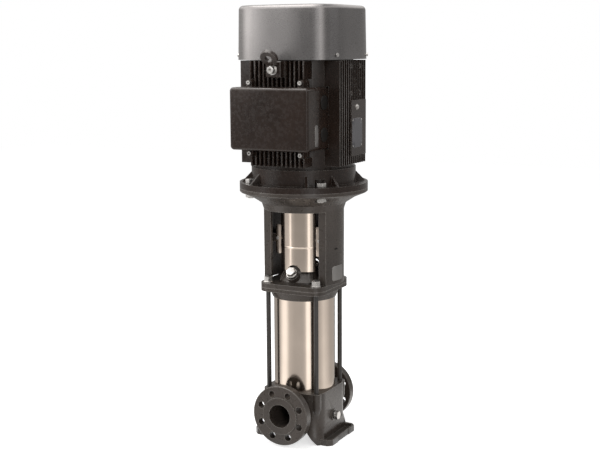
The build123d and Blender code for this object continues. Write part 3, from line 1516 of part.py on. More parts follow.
# Stages: each chamber carries guide vanes over its impeller
for stage in range(stage_count):
    floor_height = stack_bottom + stage * stage_pitch
    guide_bottom = floor_height + guide_plate_height
    with BuildPart() as chamber:
        with BuildSketch(Plane.XY.offset(floor_height)):
            Circle(chamber_r)
            Circle(chamber_r - chamber_wall, mode=Mode.SUBTRACT)
        extrude(amount=stage_pitch)
        with BuildSketch(Plane.XY.offset(floor_height)):
            Circle(chamber_r)
            Circle(chamber_eye_r, mode=Mode.SUBTRACT)
        extrude(amount=chamber_floor)
        with BuildSketch(Plane.XY.offset(guide_bottom)):
            Circle(guide_plate_r)
        extrude(amount=guide_plate_thick)
        with BuildSketch(Plane.XY.offset(guide_bottom)):
            Circle(bush_outer_r + bush_seat_wall)
        extrude(amount=bush_height)
        with BuildSketch(Plane.XY.offset(guide_bottom)):
            with PolarLocations(0, guide_count):
                add(guide_vane.sketch)
        extrude(amount=guide_height)
        with BuildSketch(Plane.XY.offset(guide_bottom)):
            Circle(bush_outer_r + fit_gap)
        extrude(amount=guide_height, mode=Mode.SUBTRACT)
    chamber.part.label = f"chamber_{stage + 1}"
    export_step(chamber.part, f"parts/chamber_{stage + 1}.step")

    with BuildPart() as impeller:
        with BuildSketch(Plane.XY.offset(floor_height + impeller_front_height)):
            Circle(impeller_r)
            Circle(impeller_eye_r, mode=Mode.SUBTRACT)
        extrude(amount=impeller_shroud)
        with BuildSketch(Plane.XY.offset(floor_height + impeller_skirt_rise)):
            Circle(impeller_skirt_r)
            Circle(impeller_eye_r, mode=Mode.SUBTRACT)
        extrude(amount=impeller_front_height - impeller_skirt_rise)
        back_height = impeller_front_height + impeller_shroud + impeller_passage
        with BuildSketch(Plane.XY.offset(floor_height + back_height)):
            Circle(impeller_r)
        extrude(amount=impeller_shroud)
        with BuildSketch(Plane.XY.offset(floor_height + impeller_hub_bottom)):
            Circle(impeller_hub_r)
        extrude(amount=impeller_hub_height - impeller_hub_bottom)
        with BuildSketch(Plane.XY.offset(floor_height + impeller_front_height + impeller_shroud)):
            with PolarLocations(0, vane_count):
                add(impeller_vane.sketch)
        extrude(amount=impeller_passage)
        with BuildSketch(Plane.XY.offset(floor_height)):
            Circle(pump_shaft_r + fit_gap)
        extrude(amount=impeller_hub_height, mode=Mode.SUBTRACT)
    impeller.part.label = f"impeller_{stage + 1}"
    export_step(impeller.part, f"parts/impeller_{stage + 1}.step")

# Seal rings round the impeller skirts
stage_floors = [stack_bottom + stage * stage_pitch for stage in range(stage_count)]
with BuildPart() as chamber_seal_rings:
    for floor_height in stage_floors:
        with BuildSketch(Plane.XY.offset(floor_height)):
            Circle(chamber_eye_r - fit_gap)
            Circle(impeller_skirt_r + turn_gap, mode=Mode.SUBTRACT)
        extrude(amount=impeller_front_height - turn_gap)
chamber_seal_rings.part.label = "chamber_seal_rings"
export_step(chamber_seal_rings.part, "parts/chamber_seal_rings.step")

# Bearing bushes in the guide plates
with BuildPart() as bearing_bushes:
    for floor_height in stage_floors:
        with BuildSketch(Plane.XY.offset(floor_height + guide_plate_height)):
            Circle(bush_outer_r)
            Circle(impeller_hub_r + bush_play, mode=Mode.SUBTRACT)
        extrude(amount=bush_height)
bearing_bushes.part.label = "bearing_bushes"
export_step(bearing_bushes.part, "parts/bearing_bushes.step")

# Spacers between the impellers, and a long one under the shaft seal
seal_drive_top = seat_bottom - turn_gap - seal_ring_height
seal_drive_bottom = seal_drive_top - seal_drive_height
with BuildPart() as shaft_spacers:
    for floor_height in stage_floors:
        spacer_bottom = floor_height + impeller_hub_height
        spacer_top = floor_height + stage_pitch + impeller_hub_bottom
        if floor_height == stage_floors[-1]:
            spacer_top = seal_drive_bottom
        with BuildSketch(Plane.XY.offset(spacer_bottom)):
            Circle(impeller_hub_r)
            Circle(pump_shaft_r + fit_gap, mode=Mode.SUBTRACT)
        extrude(amount=spacer_top - spacer_bottom)
shaft_spacers.part.label = "shaft_spacers"
export_step(shaft_spacers.part, "parts/shaft_spacers.step")

with BuildPart() as shaft_end_nut:
    with BuildSketch(Plane.XY.offset(pump_shaft_bottom + shaft_end_reach)):
        RegularPolygon(end_nut_size / 2, 6, major_radius=False)
        Circle(pump_shaft_r + fit_gap, mode=Mode.SUBTRACT)
    extrude(amount=stack_bottom + impeller_hub_bottom - pump_shaft_bottom - shaft_end_reach)
shaft_end_nut.part.label = "shaft_end_nut"
export_step(shaft_end_nut.part, "parts/shaft_end_nut.step")

# Discharge piece: ported ring that closes the last stage
with BuildPart() as discharge_piece:
    with BuildSketch(Plane.XY.offset(stack_top)):
        Circle(chamber_r)
        Circle(chamber_r - chamber_wall, mode=Mode.SUBTRACT)
    extrude(amount=discharge_height)
    with BuildSketch(Plane.XY.offset(stack_top)):
        Circle(chamber_r)
        Circle(chamber_eye_r, mode=Mode.SUBTRACT)
    extrude(amount=chamber_floor)
    with BuildSketch(Plane.XY.offset(stack_top + chamber_floor)):
        with PolarLocations(chamber_r, discharge_port_count, 180 / discharge_port_count):
            Rectangle(4 * chamber_wall, discharge_port_width)
    extrude(amount=discharge_height - 2 * chamber_floor, mode=Mode.SUBTRACT)
    with BuildSketch(Plane.XY.offset(stack_top + discharge_height)):
        Circle(chamber_r)
        Circle(impeller_hub_r + turn_gap, mode=Mode.SUBTRACT)
    extrude(amount=discharge_top_thick)
discharge_piece.part.label = "discharge_piece"
export_step(discharge_piece.part, "parts/discharge_piece.step")

# Straps that hold the stack together, hooked over both ends
strap_outer = chamber_r + fit_gap + strap_thick
with BuildPart() as stack_straps:
    for side in (-1, 1):
        with BuildSketch(Plane.XZ):
            Polygon(
                (side * (chamber_r - strap_hook), inlet_disc_bottom - strap_thick),
                (side * strap_outer, inlet_disc_bottom - strap_thick),
                (side * strap_outer, discharge_top + strap_thick),
                (side * (chamber_r - strap_hook), discharge_top + strap_thick),
                (side * (chamber_r - strap_hook), discharge_top),
                (side * (chamber_r + fit_gap), discharge_top),
                (side * (chamber_r + fit_gap), inlet_disc_bottom),
                (side * (chamber_r - strap_hook), inlet_disc_bottom),
                align=None,
            )
        extrude(amount=strap_half_width, both=True)
stack_straps.part.label = "stack_straps"
export_step(stack_straps.part, "parts/stack_straps.step")

# Shaft seal: turning ring with its drive collar, fixed ring and gland
with BuildPart() as seal_turning_unit:
    with BuildSketch(Plane.XY.offset(seal_drive_bottom)):
        Circle(seal_drive_r)
        Circle(pump_shaft_r + fit_gap, mode=Mode.SUBTRACT)
    extrude(amount=seal_drive_height)
    with BuildSketch(Plane.XY.offset(seal_drive_top)):
        Circle(seal_ring_r)
        Circle(pump_shaft_r + fit_gap, mode=Mode.SUBTRACT)
    extrude(amount=seal_ring_height)
seal_turning_unit.part.label = "seal_turning_unit"
export_step(seal_turning_unit.part, "parts/seal_turning_unit.step")

with BuildPart() as seal_fixed_ring:
    with BuildSketch(Plane.XY.offset(seat_bottom)):
        Circle(seat_r)
        Circle(seat_bore_r, mode=Mode.SUBTRACT)
    extrude(amount=seat_height)
seal_fixed_ring.part.label = "seal_fixed_ring"
export_step(seal_fixed_ring.part, "parts/seal_fixed_ring.step")

with BuildPart() as seal_gland:
    with BuildSketch(Plane.XY.offset(dome_top)):
        Circle(gland_r)
        Circle(seat_bore_r, mode=Mode.SUBTRACT)
    extrude(amount=gland_thick)
    with BuildSketch(Plane.XY.offset(seat_bottom + seat_height)):
        Circle(seal_bore_r - fit_gap)
        Circle(seat_bore_r, mode=Mode.SUBTRACT)
    extrude(amount=dome_top - seat_bottom - seat_height)
seal_gland.part.label = "seal_gland"
export_step(seal_gland.part, "parts/seal_gland.step")
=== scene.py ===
import bmesh
import bpy
import json
import math
import numpy as np
from mathutils import Matrix, Vector


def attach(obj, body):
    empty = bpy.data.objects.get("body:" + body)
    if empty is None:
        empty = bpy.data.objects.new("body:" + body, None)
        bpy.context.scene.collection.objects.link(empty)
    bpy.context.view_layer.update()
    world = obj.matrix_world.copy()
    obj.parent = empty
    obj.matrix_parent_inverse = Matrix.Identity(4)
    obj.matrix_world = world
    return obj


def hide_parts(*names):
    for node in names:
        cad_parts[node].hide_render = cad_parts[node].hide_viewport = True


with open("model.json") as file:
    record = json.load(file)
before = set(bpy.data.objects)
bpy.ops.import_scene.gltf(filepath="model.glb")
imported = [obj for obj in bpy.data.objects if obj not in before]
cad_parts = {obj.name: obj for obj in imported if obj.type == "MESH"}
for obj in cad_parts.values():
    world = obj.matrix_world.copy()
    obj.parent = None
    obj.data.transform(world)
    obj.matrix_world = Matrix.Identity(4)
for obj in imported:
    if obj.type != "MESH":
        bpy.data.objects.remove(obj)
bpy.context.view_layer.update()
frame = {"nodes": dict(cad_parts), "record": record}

scene = bpy.context.scene
bodyOf = {node: body for body, nodes in frame["record"]["behaviour"]["bodies"].items() for node in nodes}
slotOf = {part["node"]: part["material_slot"] for part in frame["record"]["subparts"]}

# the camera stands at the photograph's place and angle
cameraView = {
    "place": (1.4028, -2.6741, 1.0799),
    "facing": (-0.46183, 0.87257, -0.15919),
    "upright": (-0.06892, 0.14364, 0.98725),
    "lens": 66.69,
    "filmWidth": 36.0,
}

# soft lamps: where each stands, where it points, its width and height, and its power
lamps = {
    "leftSoftbox": {"place": (-2.3, -2.22, 1.4), "aim": (0, 0, 0.6), "size": (0.75, 2.4), "watts": 52},
    "frontStrip": {"place": (2.19, -2.6, 1.3), "aim": (0, 0, 0.6), "size": (0.4, 2.4), "watts": 26},
    "rightStrip": {"place": (2.82, 1.03, 1.3), "aim": (0, 0, 0.6), "size": (0.5, 2.4), "watts": 11},
    "topSoftbox": {"place": (-0.3, -0.6, 3.2), "aim": (0, 0, 0.8), "size": (2.0, 2.0), "watts": 42},
    "backSoftbox": {"place": (-1.2, 2.6, 1.8), "aim": (0, 0, 0.7), "size": (1.6, 1.8), "watts": 20},
}

# how strongly the world lights the object, how white the floor is, and what the floor gains where it is seen
# directly
worldLook = {"ambient": 0.42, "floorWhite": 0.9, "floorLift": 0.62, "floorReach": 7.0}

# the studio that only reflections see, as a photographer sets it up: grey walls with two bright strips and a
# few dark flags. Each list gives brightness at azimuths in degrees round the object: for the floor beside it,
# for the floor further out and the screen's foot, for the heights that the guards, the box and the fan cover
# see, and for what is above them. A row is a radius, a height and the list it reads, and "turn" holds the
# azimuths of the screen's two ends
studio = {
    "near": [(146, 0.5), (225, 1.2), (260, 1.2), (290, 0.9), (330, 1.0), (400, 1.6), (440, 1.6), (470, 0.7),
             (506, 0.5)],
    "low": [(146, 0.4), (190, 0.5), (212, 1.7), (226, 1.7), (240, 0.8), (260, 0.65), (290, 0.65), (300, 0.8),
            (305, 1.8), (315, 1.8), (324, 0.8), (350, 0.6), (371, 1.1), (386, 0.9), (405, 0.6), (506, 0.4)],
    "middle": [(146, 0.4), (200, 0.7), (219, 0.7), (222, 1.7), (227, 1.7), (230, 0.6), (250, 0.45),
               (290, 0.45), (304, 0.6), (307, 1.8), (314, 1.8), (317, 0.8), (340, 0.6), (360, 0.35),
               (506, 0.4)],
    "paint": [(146, 0.3), (210, 0.45), (236, 0.2), (246, 0.2), (300, 0.5), (330, 0.6), (360, 0.4), (410, 0.6),
              (440, 0.6), (470, 0.4), (506, 0.3)],
    "high": [(146, 0.5), (190, 1.1), (210, 3.7), (226, 3.7), (240, 0.85), (256, 0.25), (292, 0.25),
             (308, 0.6), (314, 2.0), (329, 2.0), (336, 0.4), (374, 0.2), (424, 0.4), (506, 0.5)],
    "sky": [(146, 1.2), (190, 3.4), (300, 3.4), (345, 1.8), (430, 1.8), (506, 1.2)],
    "tint": (1.0, 0.97, 0.94),
    "rows": [(0.2, 0.002, "near"), (0.45, 0.002, "near"), (0.53, 0.002, "low"), (1.45, 0.002, "low"),
             (1.45, 0.1, "low"), (1.45, 0.25, "middle"), (1.45, 0.5, "middle"), (1.45, 0.68, "paint"),
             (1.45, 0.96, "paint"), (1.45, 1.04, "high"), (1.45, 1.45, "high"), (1.45, 1.7, "sky"),
             (1.45, 2.8, "sky")],
    "turn": (146, 506),
    "steps": 181,
    "topCard": {"place": (-0.7, -0.5, 3.0), "size": (2.2, 2.0), "tone": (7.0, 6.8, 6.6)},
}


def placeCamera(look):
    data = bpy.data.cameras.new("photoCamera")
    data.lens = look["lens"]
    data.sensor_width = look["filmWidth"]
    camera = bpy.data.objects.new("photoCamera", data)
    back = -Vector(look["facing"]).normalized()
    up = Vector(look["upright"])
    right = up.cross(back).normalized()
    up = back.cross(right)
    turn = Matrix((right, up, back)).transposed().to_4x4()
    camera.matrix_world = Matrix.Translation(look["place"]) @ turn
    scene.collection.objects.link(camera)
    scene.camera = camera


def placeLamp(name, look):
    data = bpy.data.lights.new(name, "AREA")
    data.shape = "RECTANGLE"
    data.size, data.size_y = look["size"]
    data.energy = look["watts"]
    lamp = bpy.data.objects.new(name, data)
    aim = Vector(look["aim"]) - Vector(look["place"])
    lamp.matrix_world = Matrix.Translation(look["place"]) @ aim.to_track_quat("-Z", "Y").to_matrix().to_4x4()
    scene.collection.objects.link(lamp)


placeCamera(cameraView)
for lampName, lampLook in lamps.items():
    placeLamp(lampName, lampLook)
print("camera and lamps placed")


# sets a node's inputs, each given as a value or as a socket to join
def setInputs(tree, node, inputs):
    for key, value in inputs.items():
        if isinstance(value, bpy.types.NodeSocket):
            tree.links.new(value, node.inputs[key])
        else:
            node.inputs[key].default_value = value


def addNode(tree, kind, settings=(), inputs=()):
    node = tree.nodes.new("ShaderNode" + kind)
    for key, value in dict(settings).items():
        setattr(node, key, value)
    setInputs(tree, node, dict(inputs))
    return node


def maths(tree, operation, a, b=0.0, clamp=False):
    node = addNode(tree, "Math", {"operation": operation, "use_clamp": clamp}, {0: a, 1: b})
    return node.outputs[0]


def remap(tree, value, low, high, toLow=0.0, toHigh=1.0):
    node = addNode(tree, "MapRange", {"clamp": True}, {0: value, 1: low, 2: high, 3: toLow, 4: toHigh})
    return node.outputs[0]


def mixColour(tree, share, first, second):
    node = addNode(tree, "Mix", {"data_type": "RGBA"}, {0: share, 6: first, 7: second})
    return node.outputs[2]


def objectPlace(tree):
    return addNode(tree, "TexCoord").outputs["Object"]


def noiseAt(tree, place, scale, detail):
    return addNode(tree, "TexNoise", {}, {"Vector": place, "Scale": scale, "Detail": detail}).outputs[0]


def startGroup(name, inputs, outputs):
    tree = bpy.data.node_groups.new(name, "ShaderNodeTree")
    for label, kind, value in inputs:
        socket = tree.interface.new_socket(name=label, in_out="INPUT", socket_type="NodeSocket" + kind)
        socket.default_value = value
    for label, kind in outputs:
        tree.interface.new_socket(name=label, in_out="OUTPUT", socket_type="NodeSocket" + kind)
    return tree, tree.nodes.new("NodeGroupInput").outputs, tree.nodes.new("NodeGroupOutput").inputs


# worn edges with a painted highlight on them too: a lighter colour where the rounded normal leaves the true
# one, broken up by noise
edgeWearAndPaintedHighlightLook = {"samples": 4, "bend": (0.02, 0.16), "detail": 4.0, "lift": 0.5, "chips": (0.55, 0.8)}


def buildEdgeWearAndPaintedHighlight(look):
    tree, given, result = startGroup(
        "edgeWear",
        [("Width", "Float", 0.0015), ("Amount", "Float", 0.5), ("Breakup", "Float", 90.0)],
        [("Mask", "Float")],
    )
    rounded = addNode(tree, "Bevel", {"samples": look["samples"]}, {"Radius": given["Width"]}).outputs[0]
    plain = addNode(tree, "NewGeometry").outputs["Normal"]
    dot = addNode(tree, "VectorMath", {"operation": "DOT_PRODUCT"}, {0: rounded, 1: plain}).outputs["Value"]
    edge = remap(tree, maths(tree, "SUBTRACT", 1.0, dot), *look["bend"])
    noise = noiseAt(tree, objectPlace(tree), given["Breakup"], look["detail"])
    raised = maths(tree, "ADD", noise, maths(tree, "MULTIPLY", given["Amount"], look["lift"]))
    wornAndHighlight = maths(tree, "MULTIPLY", edge, remap(tree, raised, *look["chips"]))
    tree.links.new(maths(tree, "MULTIPLY", wornAndHighlight, given["Amount"], True), result["Mask"])
    return tree


# the fine pebbled skin of paint on a sand casting, over broader lumps
castGrainLook = {"fineDetail": 3.0, "lumpScale": 0.17, "lumpDetail": 2.0, "tones": (0.3, 0.7)}


def buildCastGrain(look):
    tree, given, result = startGroup(
        "castGrain",
        [("Scale", "Float", 420.0), ("Lumps", "Float", 0.5)],
        [("Height", "Float"), ("Tone", "Float")],
    )
    place = objectPlace(tree)
    fine = noiseAt(tree, place, given["Scale"], look["fineDetail"])
    lumpScale = maths(tree, "MULTIPLY", given["Scale"], look["lumpScale"])
    lumps = noiseAt(tree, place, lumpScale, look["lumpDetail"])
    height = maths(tree, "ADD", fine, maths(tree, "MULTIPLY", lumps, given["Lumps"]))
    tree.links.new(height, result["Height"])
    tree.links.new(remap(tree, lumps, *look["tones"]), result["Tone"])
    return tree


# dust that settles on faces looking up, thicker in patches
dustFilmLook = {"upward": (0.35, 0.95), "patches": (0.35, 0.75), "detail": 5.0}


def buildDustFilm(look):
    tree, given, result = startGroup(
        "dustFilm",
        [("Amount", "Float", 0.3), ("Scale", "Float", 14.0)],
        [("Mask", "Float")],
    )
    normal = addNode(tree, "NewGeometry").outputs["Normal"]
    up = addNode(tree, "SeparateXYZ", {}, {0: normal}).outputs[2]
    patch = noiseAt(tree, objectPlace(tree), given["Scale"], look["detail"])
    lying = maths(tree, "MULTIPLY", remap(tree, up, *look["upward"]), remap(tree, patch, *look["patches"]))
    tree.links.new(maths(tree, "MULTIPLY", lying, given["Amount"], True), result["Mask"])
    return tree


# slow drift of a colour between two shades of itself
paintDriftLook = {"detail": 3.0, "tones": (0.3, 0.7)}


def buildPaintDrift(look):
    tree, given, result = startGroup(
        "paintDrift",
        [("Colour", "Color", (0.5, 0.5, 0.5, 1)), ("Spread", "Float", 0.2), ("Scale", "Float", 9.0)],
        [("Colour", "Color")],
    )
    drift = noiseAt(tree, objectPlace(tree), given["Scale"], look["detail"])
    tone = remap(tree, drift, *look["tones"])
    swing = maths(tree, "MULTIPLY", maths(tree, "SUBTRACT", tone, 0.5), given["Spread"])
    gain = maths(tree, "ADD", 1.0, swing)
    scaled = addNode(tree, "VectorMath", {"operation": "SCALE"}, {0: given["Colour"], "Scale": gain})
    tree.links.new(scaled.outputs[0], result["Colour"])
    return tree


# fine brush lines: noise drawn out by unlike scales along x, y and z, with broad smudges
brushLinesLook = {"detail": 4.0, "lines": (0.3, 0.7), "smudgeDetail": 2.0, "smudges": (0.2, 0.8, 0.5, 1.0)}


def buildBrushLines(look):
    tree, given, result = startGroup(
        "brushLines",
        [("Stretch", "Vector", (6.0, 6.0, 1500.0)), ("Smudge", "Float", 16.0)],
        [("Height", "Float"), ("Tone", "Float")],
    )
    place = objectPlace(tree)
    drawn = addNode(tree, "VectorMath", {"operation": "MULTIPLY"}, {0: place, 1: given["Stretch"]}).outputs[0]
    lines = noiseAt(tree, drawn, 1.0, look["detail"])
    smudge = noiseAt(tree, place, given["Smudge"], look["smudgeDetail"])
    tree.links.new(lines, result["Height"])
    tone = maths(tree, "MULTIPLY", remap(tree, lines, *look["lines"]), remap(tree, smudge, *look["smudges"]))
    tree.links.new(tone, result["Tone"])
    return tree


groups = {
    "edgeWear": buildEdgeWearAndPaintedHighlight(edgeWearAndPaintedHighlightLook),
    "castGrain": buildCastGrain(castGrainLook),
    "dustFilm": buildDustFilm(dustFilmLook),
    "paintDrift": buildPaintDrift(paintDriftLook),
    "brushLines": buildBrushLines(brushLinesLook),
}


def useGroup(tree, name, **values):
    node = tree.nodes.new("ShaderNodeGroup")
    node.node_tree = groups[name]
    setInputs(tree, node, values)
    return node.outputs


def shade(colour):
    return (*colour, 1.0)


black = shade((0.0,) * 3)
white = shade((1.0,) * 3)


# a surface of slowly drifting colour with lighter edges, partly worn and partly a painted highlight, and a
# film of dust, which also dulls it; its fine relief is brush lines on metal, and grain on paint, plastic and
# rubber
def makeFinish(name, look):
    material = bpy.data.materials.new(name)
    material.use_nodes = True
    tree = material.node_tree
    shader = tree.nodes["Principled BSDF"]
    shader.inputs["Metallic"].default_value = look["metallic"]
    shader.inputs["Anisotropic"].default_value = look["anisotropic"]
    shader.inputs["Specular IOR Level"].default_value = look["specular"]
    if look["metallic"]:
        relief = useGroup(tree, "brushLines", Stretch=look["stretch"], Smudge=look["smudge"])
    else:
        relief = useGroup(tree, "castGrain", Scale=look["grainScale"], Lumps=look["lumps"])
    plain = shade(look["colour"])
    drift = useGroup(tree, "paintDrift", Colour=plain, Spread=look["spread"], Scale=look["driftScale"])
    wear = useGroup(tree, "edgeWear", Width=look["edgeWidth"], Amount=look["wear"], Breakup=look["breakup"])
    dust = useGroup(tree, "dustFilm", Amount=look["dust"])["Mask"]
    # edges are lightened towards the edge colour: partly wear, partly a painted highlight along them
    colour = mixColour(tree, wear["Mask"], drift["Colour"], shade(look["edgeColour"]))
    colour = mixColour(tree, dust, colour, shade(look["dustColour"]))
    tree.links.new(colour, shader.inputs["Base Color"])
    smoothest, roughest = look["rough"] - look["roughSpread"], look["rough"] + look["roughSpread"]
    rough = remap(tree, relief["Tone"], 0.0, 1.0, smoothest, roughest)
    rough = maths(tree, "ADD", rough, maths(tree, "MULTIPLY", dust, look["dustRough"]), True)
    tree.links.new(rough, shader.inputs["Roughness"])
    raised = {"Strength": look["bump"], "Distance": look["grainDepth"], "Height": relief["Height"]}
    tree.links.new(addNode(tree, "Bump", {}, raised).outputs[0], shader.inputs["Normal"])
    return material


# what every coated or moulded surface and every bare metal one starts from; lengths are in metres
coatedBase = {
    "colour": (0.018, 0.015, 0.013), "spread": 0.5, "driftScale": 9.0, "edgeColour": (0.3, 0.28, 0.255),
    "edgeWidth": 0.0018, "wear": 0.5, "breakup": 90.0, "dust": 0.16, "dustColour": (0.12, 0.11, 0.1),
    "dustRough": 0.25, "grainScale": 520.0, "lumps": 0.6, "rough": 0.32, "roughSpread": 0.06, "bump": 0.3,
    "grainDepth": 0.0002, "specular": 0.4, "metallic": 0.0, "anisotropic": 0.0,
}
metalBase = {
    "colour": (0.6, 0.57, 0.54), "spread": 0.12, "driftScale": 12.0, "edgeColour": (0.8, 0.78, 0.75),
    "edgeWidth": 0.0008, "wear": 0.6, "breakup": 140.0, "dust": 0.06, "dustColour": (0.3, 0.28, 0.26),
    "dustRough": 0.3, "stretch": (4.0, 4.0, 2600.0), "smudge": 16.0, "rough": 0.26, "roughSpread": 0.05,
    "bump": 0.06, "grainDepth": 0.0001, "specular": 0.5, "metallic": 1.0, "anisotropic": 0.3,
}
coatedLooks = {
    # the castings' high edge amount gives light lines along their edges, partly as wear and partly as a
    # painted highlight
    "casting": {"colour": (0.038, 0.03, 0.0247), "wear": 0.85, "rough": 0.29, "roughSpread": 0.04,
                "bump": 0.1, "grainDepth": 0.0001},
    "motor_paint": {"colour": (0.0155, 0.0088, 0.0062), "wear": 0.45, "rough": 0.26, "grainScale": 700.0,
                    "bump": 0.07, "grainDepth": 0.0001, "specular": 0.32},
    "dark_steel": {"colour": (0.028, 0.025, 0.023), "rough": 0.32, "bump": 0.12, "wear": 0.3},
    "rubber": {"colour": (0.012, 0.012, 0.012), "rough": 0.7, "wear": 0.0, "bump": 0.3},
    "carbide": {"colour": (0.03, 0.03, 0.033), "rough": 0.2, "wear": 0.1, "bump": 0.05},
    "seal_plastic": {"colour": (0.6, 0.57, 0.5), "edgeColour": (0.7, 0.68, 0.62), "rough": 0.5,
                     "wear": 0.1},
    "lamination": {"colour": (0.16, 0.16, 0.17), "rough": 0.5, "wear": 0.3},
    "fan_plastic": {"colour": (0.016, 0.016, 0.016), "rough": 0.45, "wear": 0.15, "bump": 0.2},
    "entry_plastic": {"colour": (0.008, 0.007, 0.0062), "specular": 0.25, "rough": 0.4, "wear": 0.15,
                      "bump": 0.2},
    # a near-black finish that paints the shade inside the leg's slot
    "slotShade": {"colour": (0.002, 0.002, 0.002), "edgeColour": (0.01, 0.01, 0.01), "dust": 0.0,
                  "specular": 0.08},
    "board_plastic": {"colour": (0.1, 0.045, 0.025), "rough": 0.45, "wear": 0.1, "bump": 0.2},
}
metalLooks = {
    "stainless": {"colour": (0.6, 0.52, 0.45), "rough": 0.16, "roughSpread": 0.03, "anisotropic": 0.0},
    "zinc_steel": {"colour": (0.5, 0.49, 0.475), "rough": 0.3, "stretch": (300.0, 300.0, 300.0)},
    "cover_paint": {"colour": (0.155, 0.149, 0.148), "edgeColour": (0.3, 0.3, 0.3), "rough": 0.3,
                    "metallic": 0.75, "stretch": (700.0, 700.0, 700.0), "anisotropic": 0.0, "wear": 0.2,
                    "bump": 0.1},
    "coupling_iron": {"colour": (0.2, 0.19, 0.185), "rough": 0.42, "stretch": (30.0, 30.0, 700.0)},
    "shaft_steel": {"colour": (0.5, 0.49, 0.48), "rough": 0.22, "stretch": (10.0, 10.0, 1800.0)},
    "bearing_steel": {"colour": (0.62, 0.62, 0.63), "rough": 0.12, "stretch": (10.0, 10.0, 1800.0)},
    "cage_brass": {"colour": (0.62, 0.42, 0.16), "rough": 0.3, "stretch": (80.0, 80.0, 80.0)},
    "copper": {"colour": (0.5, 0.2, 0.09), "rough": 0.35, "stretch": (60.0, 60.0, 500.0)},
    "plateFoil": {"colour": (0.13, 0.13, 0.142), "rough": 0.3, "stretch": (20.0, 900.0, 20.0)},
    "labelFoil": {"colour": (0.27, 0.262, 0.256), "rough": 0.34, "stretch": (20.0, 900.0, 20.0)},
}
finishes = {slot: makeFinish(slot, {**coatedBase, **look}) for slot, look in coatedLooks.items()}
finishes.update({slot: makeFinish(slot, {**metalBase, **look}) for slot, look in metalLooks.items()})
for node, thing in frame["nodes"].items():
    thing.data.materials.clear()
    thing.data.materials.append(finishes[slotOf[node]])
print("finishes made:", len(finishes))


# how a node's triangles become a smooth mesh: points nearer than weld are joined, faces within flatAngle are
# made one, and edges past sharpAngle are kept sharp and rounded in so many segments
copyLook = {"weld": 2e-6, "flatAngle": math.radians(0.3), "sharpAngle": math.radians(32.0), "segments": 2}


# a welded copy of a node: outer edges are rounded by edge, and inner corners are filled by fillet, both
# through bevel weights
def smoothCopy(node, label, edge, fillet=None, reshape=None):
    fillet = fillet or edge
    widest = max(edge, fillet)
    work = bmesh.new()
    work.from_mesh(frame["nodes"][node].data)
    bmesh.ops.remove_doubles(work, verts=work.verts, dist=copyLook["weld"])
    bmesh.ops.dissolve_limit(work, angle_limit=copyLook["flatAngle"], verts=work.verts, edges=work.edges)
    if reshape:
        reshape(work)
    weight = work.edges.layers.float.new("bevel_weight_edge")
    for side in work.edges:
        if len(side.link_faces) == 2 and side.calc_face_angle(0) > copyLook["sharpAngle"]:
            side[weight] = (edge if side.is_convex else fillet) / widest
    mesh = bpy.data.meshes.new(label)
    work.to_mesh(mesh)
    work.free()
    mesh.polygons.foreach_set("use_smooth", [True] * len(mesh.polygons))
    mesh.set_sharp_from_angle(angle=copyLook["sharpAngle"])
    piece = bpy.data.objects.new(label, mesh)
    scene.collection.objects.link(piece)
    mesh.materials.append(finishes[slotOf[node]])
    rounding = piece.modifiers.new("roundedEdges", "BEVEL")
    rounding.width = widest
    rounding.segments = copyLook["segments"]
    rounding.limit_method = "WEIGHT"
    rounding.harden_normals = True
    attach(piece, bodyOf[node])
    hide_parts(node)


# the drawn cover's sides are slightly crowned: its flats are cut into strips, and each point moves along its
# ray from the axis by the ratio of a superellipse's reach to that of the square with round corners
coverCrown = {"half": 0.150, "corner": 0.085, "power": 3.82, "cuts": np.arange(-0.07, 0.0701, 0.01)}


def crownCover(work):
    half, corner, power = coverCrown["half"], coverCrown["corner"], coverCrown["power"]
    for cut in coverCrown["cuts"]:
        for side in ((1, 0, 0), (0, 1, 0)):
            everything = work.verts[:] + work.edges[:] + work.faces[:]
            place = Vector(side) * cut
            bmesh.ops.bisect_plane(work, geom=everything, dist=1e-6, plane_co=place, plane_no=side)
    points = np.array([point.co for point in work.verts])
    spread = np.hypot(points[:, 0], points[:, 1])
    lengths = np.sort(np.abs(points[:, :2]), axis=1) / np.maximum(spread, 1e-9)[:, None]
    low, high = lengths[:, 0], np.maximum(lengths[:, 1], 0.7)  # 0.7 serves points on the axis alone
    inset = half - corner
    both = inset * (low + high)
    onCorner = both + np.sqrt(np.maximum(both ** 2 - 2 * inset ** 2 + corner ** 2, 0))
    square = np.where(low / high * half <= inset, half / high, onCorner)
    crowned = half / (low ** power + high ** power) ** (1 / power)
    moved = points[:, :2] * (crowned / square)[:, None]
    for point, (x, y) in zip(work.verts, moved):
        point.co.x, point.co.y = x, y


# by how many metres each copied node's edges are rounded, and its inner corners where they differ
roundedNodes = {
    "pump_base": (0.0024, 0.004), "pump_head": (0.0024, 0.003), "motor_stool": (0.0026, 0.003),
    "drive_end_shield": (0.0018, 0.003), "motor_frame": (0.0008,), "terminal_box": (0.0014,),
    "terminal_box_cover": (0.004,), "lifting_lug": (0.0022,), "fan_cover": (0.0004,),
    "staybolts": (0.0004,), "staybolt_nuts": (0.0007,), "drain_plug": (0.0007,), "vent_plug": (0.0007,),
    "motor_flange_bolts": (0.0008,), "motor_flange_nuts": (0.0008,), "box_screws": (0.0006,),
    "lug_bolt": (0.0007,), "guard_screws": (0.0005,), "cable_entry_plugs": (0.0006,),
    "fan_cover_screws": (0.0005,), "cooling_fan": (0.0004,),
}
for node, widths in roundedNodes.items():
    words = node.split("_")
    label = words[0] + "".join(word.capitalize() for word in words[1:])
    smoothCopy(node, label, *widths, reshape=crownCover if node == "fan_cover" else None)
print("smooth copies made:", len(roundedNodes))


